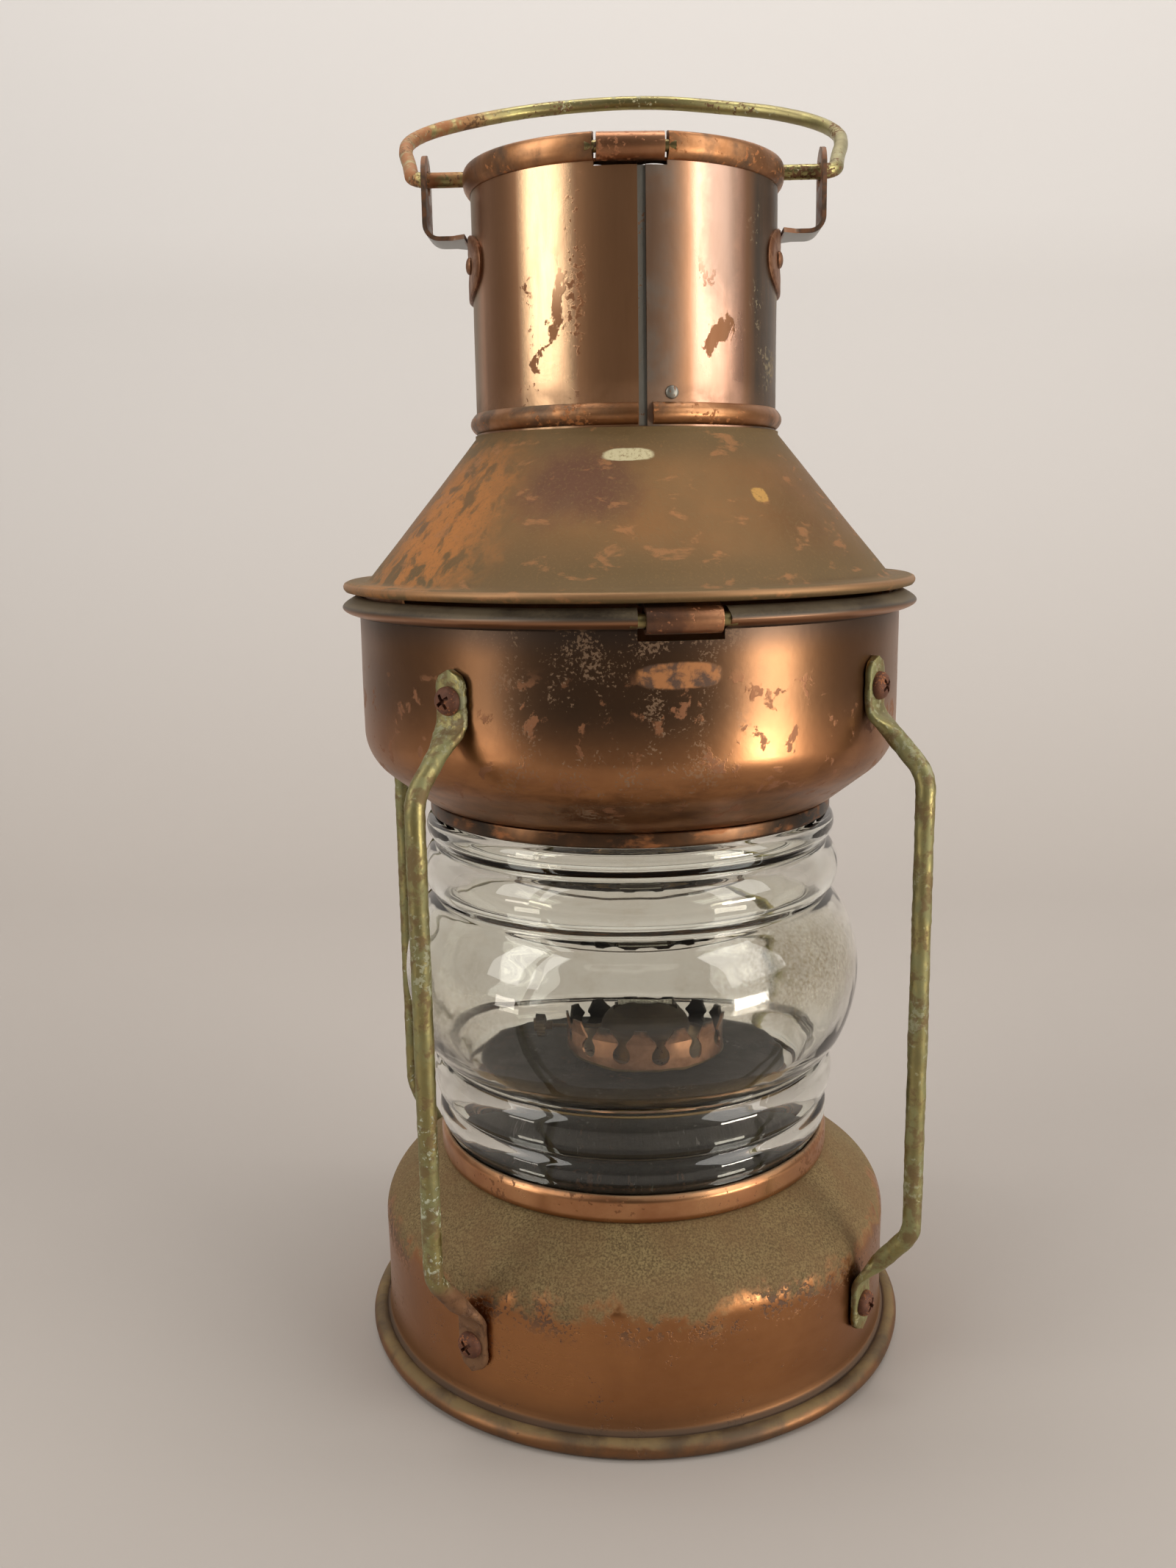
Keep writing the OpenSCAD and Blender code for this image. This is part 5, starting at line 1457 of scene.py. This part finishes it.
# %% Ears
def ear_strip(sign):
    """The folded strip: out from the pad, round a bend and up to an eye."""
    t, half, fold = 1.4, 7.0, 5.0
    foot = PAD_Z + 8.2
    bend_x, start_x = EAR_X - fold, CHIMNEY_R + 1.3
    centre = [(start_x + (bend_x - start_x) * i / 6, foot + t / 2) for i in range(7)]
    for a in [math.radians(d) for d in range(-80, 1, 10)]:
        centre.append((bend_x + (fold - t / 2) * math.cos(a), foot + fold + (fold - t / 2) * math.sin(a)))
    top = PIVOT_Z + half - foot - fold
    centre += [(EAR_X - t / 2, foot + fold + top * i / 21) for i in range(1, 22)]
    verts = []
    n = len(centre)
    for i, (x, h) in enumerate(centre):
        ahead = Vector(centre[min(i + 1, n - 1)]) - Vector(centre[max(i - 1, 0)])
        across = Vector((-ahead[1], ahead[0])).normalized()
        rise = h - PIVOT_Z
        w = half if rise < 0 else math.sqrt(max(0.2, half ** 2 - rise ** 2))
        if i < 3:
            w += (3 - i) * 0.9
        for u, v in ((-w, -t / 2), (-w + 0.3, -t / 2 - 0.02), (w - 0.3, -t / 2 - 0.02), (w, -t / 2 + 0.1),
                     (w, t / 2 - 0.1), (w - 0.3, t / 2), (-w + 0.3, t / 2), (-w, t / 2 - 0.1)):
            verts.append(Vector(((x + across[0] * v) * sign, u, h + across[1] * v)))
    sides = 8
    ends = [tuple(range(sides)), tuple((n - 1) * sides + k for k in range(sides))]
    strip = mesh_from("ear_strip", verts, ring_faces(n, sides) + ends, 45)
    cut_away(strip, rod_along_x(50 * sign, 70 * sign, PIVOT_Z - 0.9, 3.5))
    return strip


def ear_pad(sign):
    """Rings of an oval wrapped on the chimney, with a rounded edge."""
    rings = [(0.0, 1.2), (0.5, 1.2), (0.85, 1.2), (0.96, 1.1), (1.0, 0.7), (1.0, 0.02), (0.0, 0.02)]
    count, long, high = 48, 21.5, 9.8
    verts = []
    for f, d in rings:
        for a in [2 * math.pi * k / count for k in range(count)]:
            u = long * f * math.copysign(abs(math.cos(a)) ** 0.85, math.cos(a))
            v = high * f * math.copysign(abs(math.sin(a)) ** 0.85, math.sin(a))
            q = polar(CHIMNEY_R + d, math.degrees(u / CHIMNEY_R), PAD_Z + v)
            verts.append(Vector((-q[1] * sign, q[0], q[2])))
    return mesh_from("ear_pad", verts, ring_faces(len(rings), count), 50)


def ear(name, sign):
    """One ear; sign is its side."""
    return joined(name, [ear_strip(sign), ear_pad(sign)])


dressed(ear("ear_right_bracket", 1), FINISH["ear"], "lid", "ear_right")
dressed(ear("ear_left_bracket", -1), FINISH["ear"], "lid", "ear_left")

# %% [markdown]
# ## Screws and rivets
# Fasteners repeat, so Geometry Nodes place one modelled head at every seat. The tree turns each
# copy to face out from the axis, and its result is made a plain mesh before it rides its body.


# %% One pan head screw and one rivet, modelled once
def turned(name, outline, sides):
    """An outline of (radius, height) points turned about Z, from its top to its lower end."""
    turns = [2 * math.pi * k / sides for k in range(sides)]
    verts = [(r * math.cos(a), r * math.sin(a), z) for r, z in outline for a in turns]
    return mesh_from(name, verts, ring_faces(len(outline), sides), 50)


def pan_head():
    """A pan head facing +Z with a cross recess, its seat at the origin."""
    outline = [(0.0, 2.75), (1.4, 2.7), (2.6, 2.45), (3.5, 1.9), (3.95, 1.2), (4.1, 0.5), (4.05, 0.0),
               (1.9, 0.0), (1.9, -7.5), (0.0, -7.5)]
    head = turned("pan_head", outline, 32)
    cut_away(head, bar(-2.3, 2.3, -0.5, 0.5, 1.3, 4))
    cut_away(head, bar(-0.5, 0.5, -2.3, 2.3, 1.3, 4))
    for v in head.data.vertices:
        v.co += Vector(noise.noise_vector(v.co * 900)) * 0.00005
    return head


def dome_head(radius, height, shank):
    """A round rivet head facing +Z with a little shank."""
    quarter = [math.radians(d) for d in range(0, 91, 15)]
    outline = [(radius * math.sin(a), height * math.cos(a)) for a in quarter]
    outline += [(radius, -0.05), (shank, -0.05), (shank, -1.9), (0, -1.9)]
    return turned("dome_head", outline, 24)


# %% Tree that seats a fastener at every point
def seating_tree():
    """Places one object at each point of a mesh, its +Z turned outwards from the axis."""
    tree = bpy.data.node_groups.new("fasteners_around", "GeometryNodeTree")
    sockets = (("Geometry", "INPUT", "Geometry"), ("Fastener", "INPUT", "Object"),
               ("Finish", "INPUT", "Material"), ("Spin", "INPUT", "Float"), ("Seed", "INPUT", "Int"),
               ("Geometry", "OUTPUT", "Geometry"))
    for name, way, kind in sockets:
        tree.interface.new_socket(name=name, in_out=way, socket_type="NodeSocket" + kind)
    n = Nodes(tree)
    given, out = n.add("NodeGroupInput"), n.add("NodeGroupOutput")
    spot = n.add("ShaderNodeSeparateXYZ", {"Vector": n.add("GeometryNodeInputPosition").outputs[0]}).outputs
    outward = n.add("ShaderNodeCombineXYZ", {"X": spot["X"], "Y": spot["Y"]}).outputs[0]
    turn = n.add("FunctionNodeAlignRotationToVector", {"Vector": outward}, axis="Z").outputs[0]
    spin = n.add("FunctionNodeRandomValue", {"Seed": given.outputs["Seed"]}, data_type="FLOAT")
    angle = n.math("MULTIPLY", spin.outputs[1], given.outputs["Spin"])
    twist = n.add("FunctionNodeAxisAngleToRotation", {"Axis": (0, 0, 1), "Angle": angle}).outputs[0]
    both = n.add("FunctionNodeRotateRotation", {"Rotation": turn, "Rotate By": twist},
                 rotation_space="LOCAL").outputs[0]
    thing = n.add("GeometryNodeObjectInfo", {"Object": given.outputs["Fastener"]}).outputs["Geometry"]
    placed = n.add("GeometryNodeInstanceOnPoints", {"Points": given.outputs["Geometry"], "Instance": thing,
                                                    "Rotation": both}).outputs[0]
    real = n.add("GeometryNodeRealizeInstances", {"Geometry": placed}).outputs[0]
    final = n.add("GeometryNodeSetMaterial", {"Geometry": real, "Material": given.outputs["Finish"]})
    tree.links.new(final.outputs[0], out.inputs[0])
    return tree


SEATING = seating_tree()


def seated(name, points, fastener, finish, seed=1, spin=6.28):
    """Runs the seating tree over points in millimetres; each copy spins up to spin radians."""
    mesh = bpy.data.meshes.new(name + "_points")
    mesh.from_pydata([[c * MM for c in p] for p in points], [], [])
    obj = bpy.data.objects.new(name, mesh)
    bpy.context.scene.collection.objects.link(obj)
    modifier = obj.modifiers.new("fasteners", "NODES")
    modifier.node_group = SEATING
    values = {"Fastener": fastener, "Finish": finish, "Spin": spin, "Seed": seed}
    for item in SEATING.interface.items_tree:
        if item.in_out == "INPUT" and item.name in values:
            modifier[item.identifier] = values[item.name]
    settle(obj)
    return obj


screw = pan_head()
seats = [polar(WALL_R + 2.45, az, z) for az in ROD_AZ for z in (LOW_SCREW_Z, TOP_SCREW_Z)]
screws = seated("guard_rod_screws", seats, screw, FINISH["rust"], 5)
dressed(screws, FINISH["rust"], "lantern", "guard_screws")
bpy.data.objects.remove(screw)

dome = dome_head(2.5, 1.1, 1.4)
ear_seats = [polar(CHIMNEY_R + 1.25, 90 * s + a, PAD_Z) for s in (-1, 1) for a in (-14, 14)]
dressed(seated("ear_rivet_heads", ear_seats, dome, FINISH["ear"]), FINISH["ear"], "lid", "ear_rivets")
bpy.data.objects.remove(dome)
small = dome_head(1.9, 0.8, 0.9)
dressed(seated("seam_rivet_head", [polar(CHIMNEY_R + 0.02, 16.5, CONE_TOP + 10.5)], small, FINISH["tin"]),
        FINISH["tin"], "lid", "seam_rivet")
bpy.data.objects.remove(small)

# %% [markdown]
# ## Inside: font, burner, wick and cap
# These show through the glass or when the cap is open. The model's own shapes are right, so most
# of them stay and only take a finish. The font's top gets a folded, uneven edge.


# %% Font top
def font_lid():
    """A thin plate with a folded edge, wavy towards its rim."""
    z = top_of("font_top")
    outline = [(r, z - drop) for r, drop in (
        (11.0, 0.8), (11.0, 0.0), (30.0, 0.1), (44.5, 0.3), (50.2, 0.9), (52.6, 0.5), (53.5, 1.3),
        (53.4, 2.6), (52.2, 3.4), (52.0, 2.2), (50.0, 1.9), (44.0, 1.2), (30.0, 0.9))]
    obj = spun("font_top_plate", outline, step=2.5, sharp=60)
    for v in obj.data.vertices:
        r = math.hypot(v.co.x, v.co.y) / MM
        k = max(0.0, min(1.0, (r - 30) / 20))
        broad = noise.noise(Vector((v.co.x, v.co.y, 0)) * 60)
        fine = noise.noise(Vector((v.co.x, v.co.y, 3)) * 170)
        v.co.z += ((broad + 0.5 * fine) * 0.5 - 0.2) * MM * k
    return obj


dressed(font_lid(), FINISH["soot"], "lantern", "font_top")

KEPT = {
    "base_pan": "trim", "font_body": "soot", "font_neck": "burner", "burner_base": "burner",
    "burner_crown": "crown", "burner_dome": "burner", "wick_tube": "burner", "wick_shaft": "burner",
    "wick_knob": "burner", "wick": "wick", "lens_gasket_low": "cork", "lens_gasket_up": "cork",
    "hinge_pin": "pin", "cap_pin": "pin", "guard_nuts": "rust", "catch_bracket": "pin",
    "lid_catch": "pin", "lid_skirt": "trim", "chimney_sleeve": "tin", "chimney_cap": "trim",
}
for node, finish in KEPT.items():
    keep(node, FINISH[finish])
print("kept nodes:", len(KEPT))
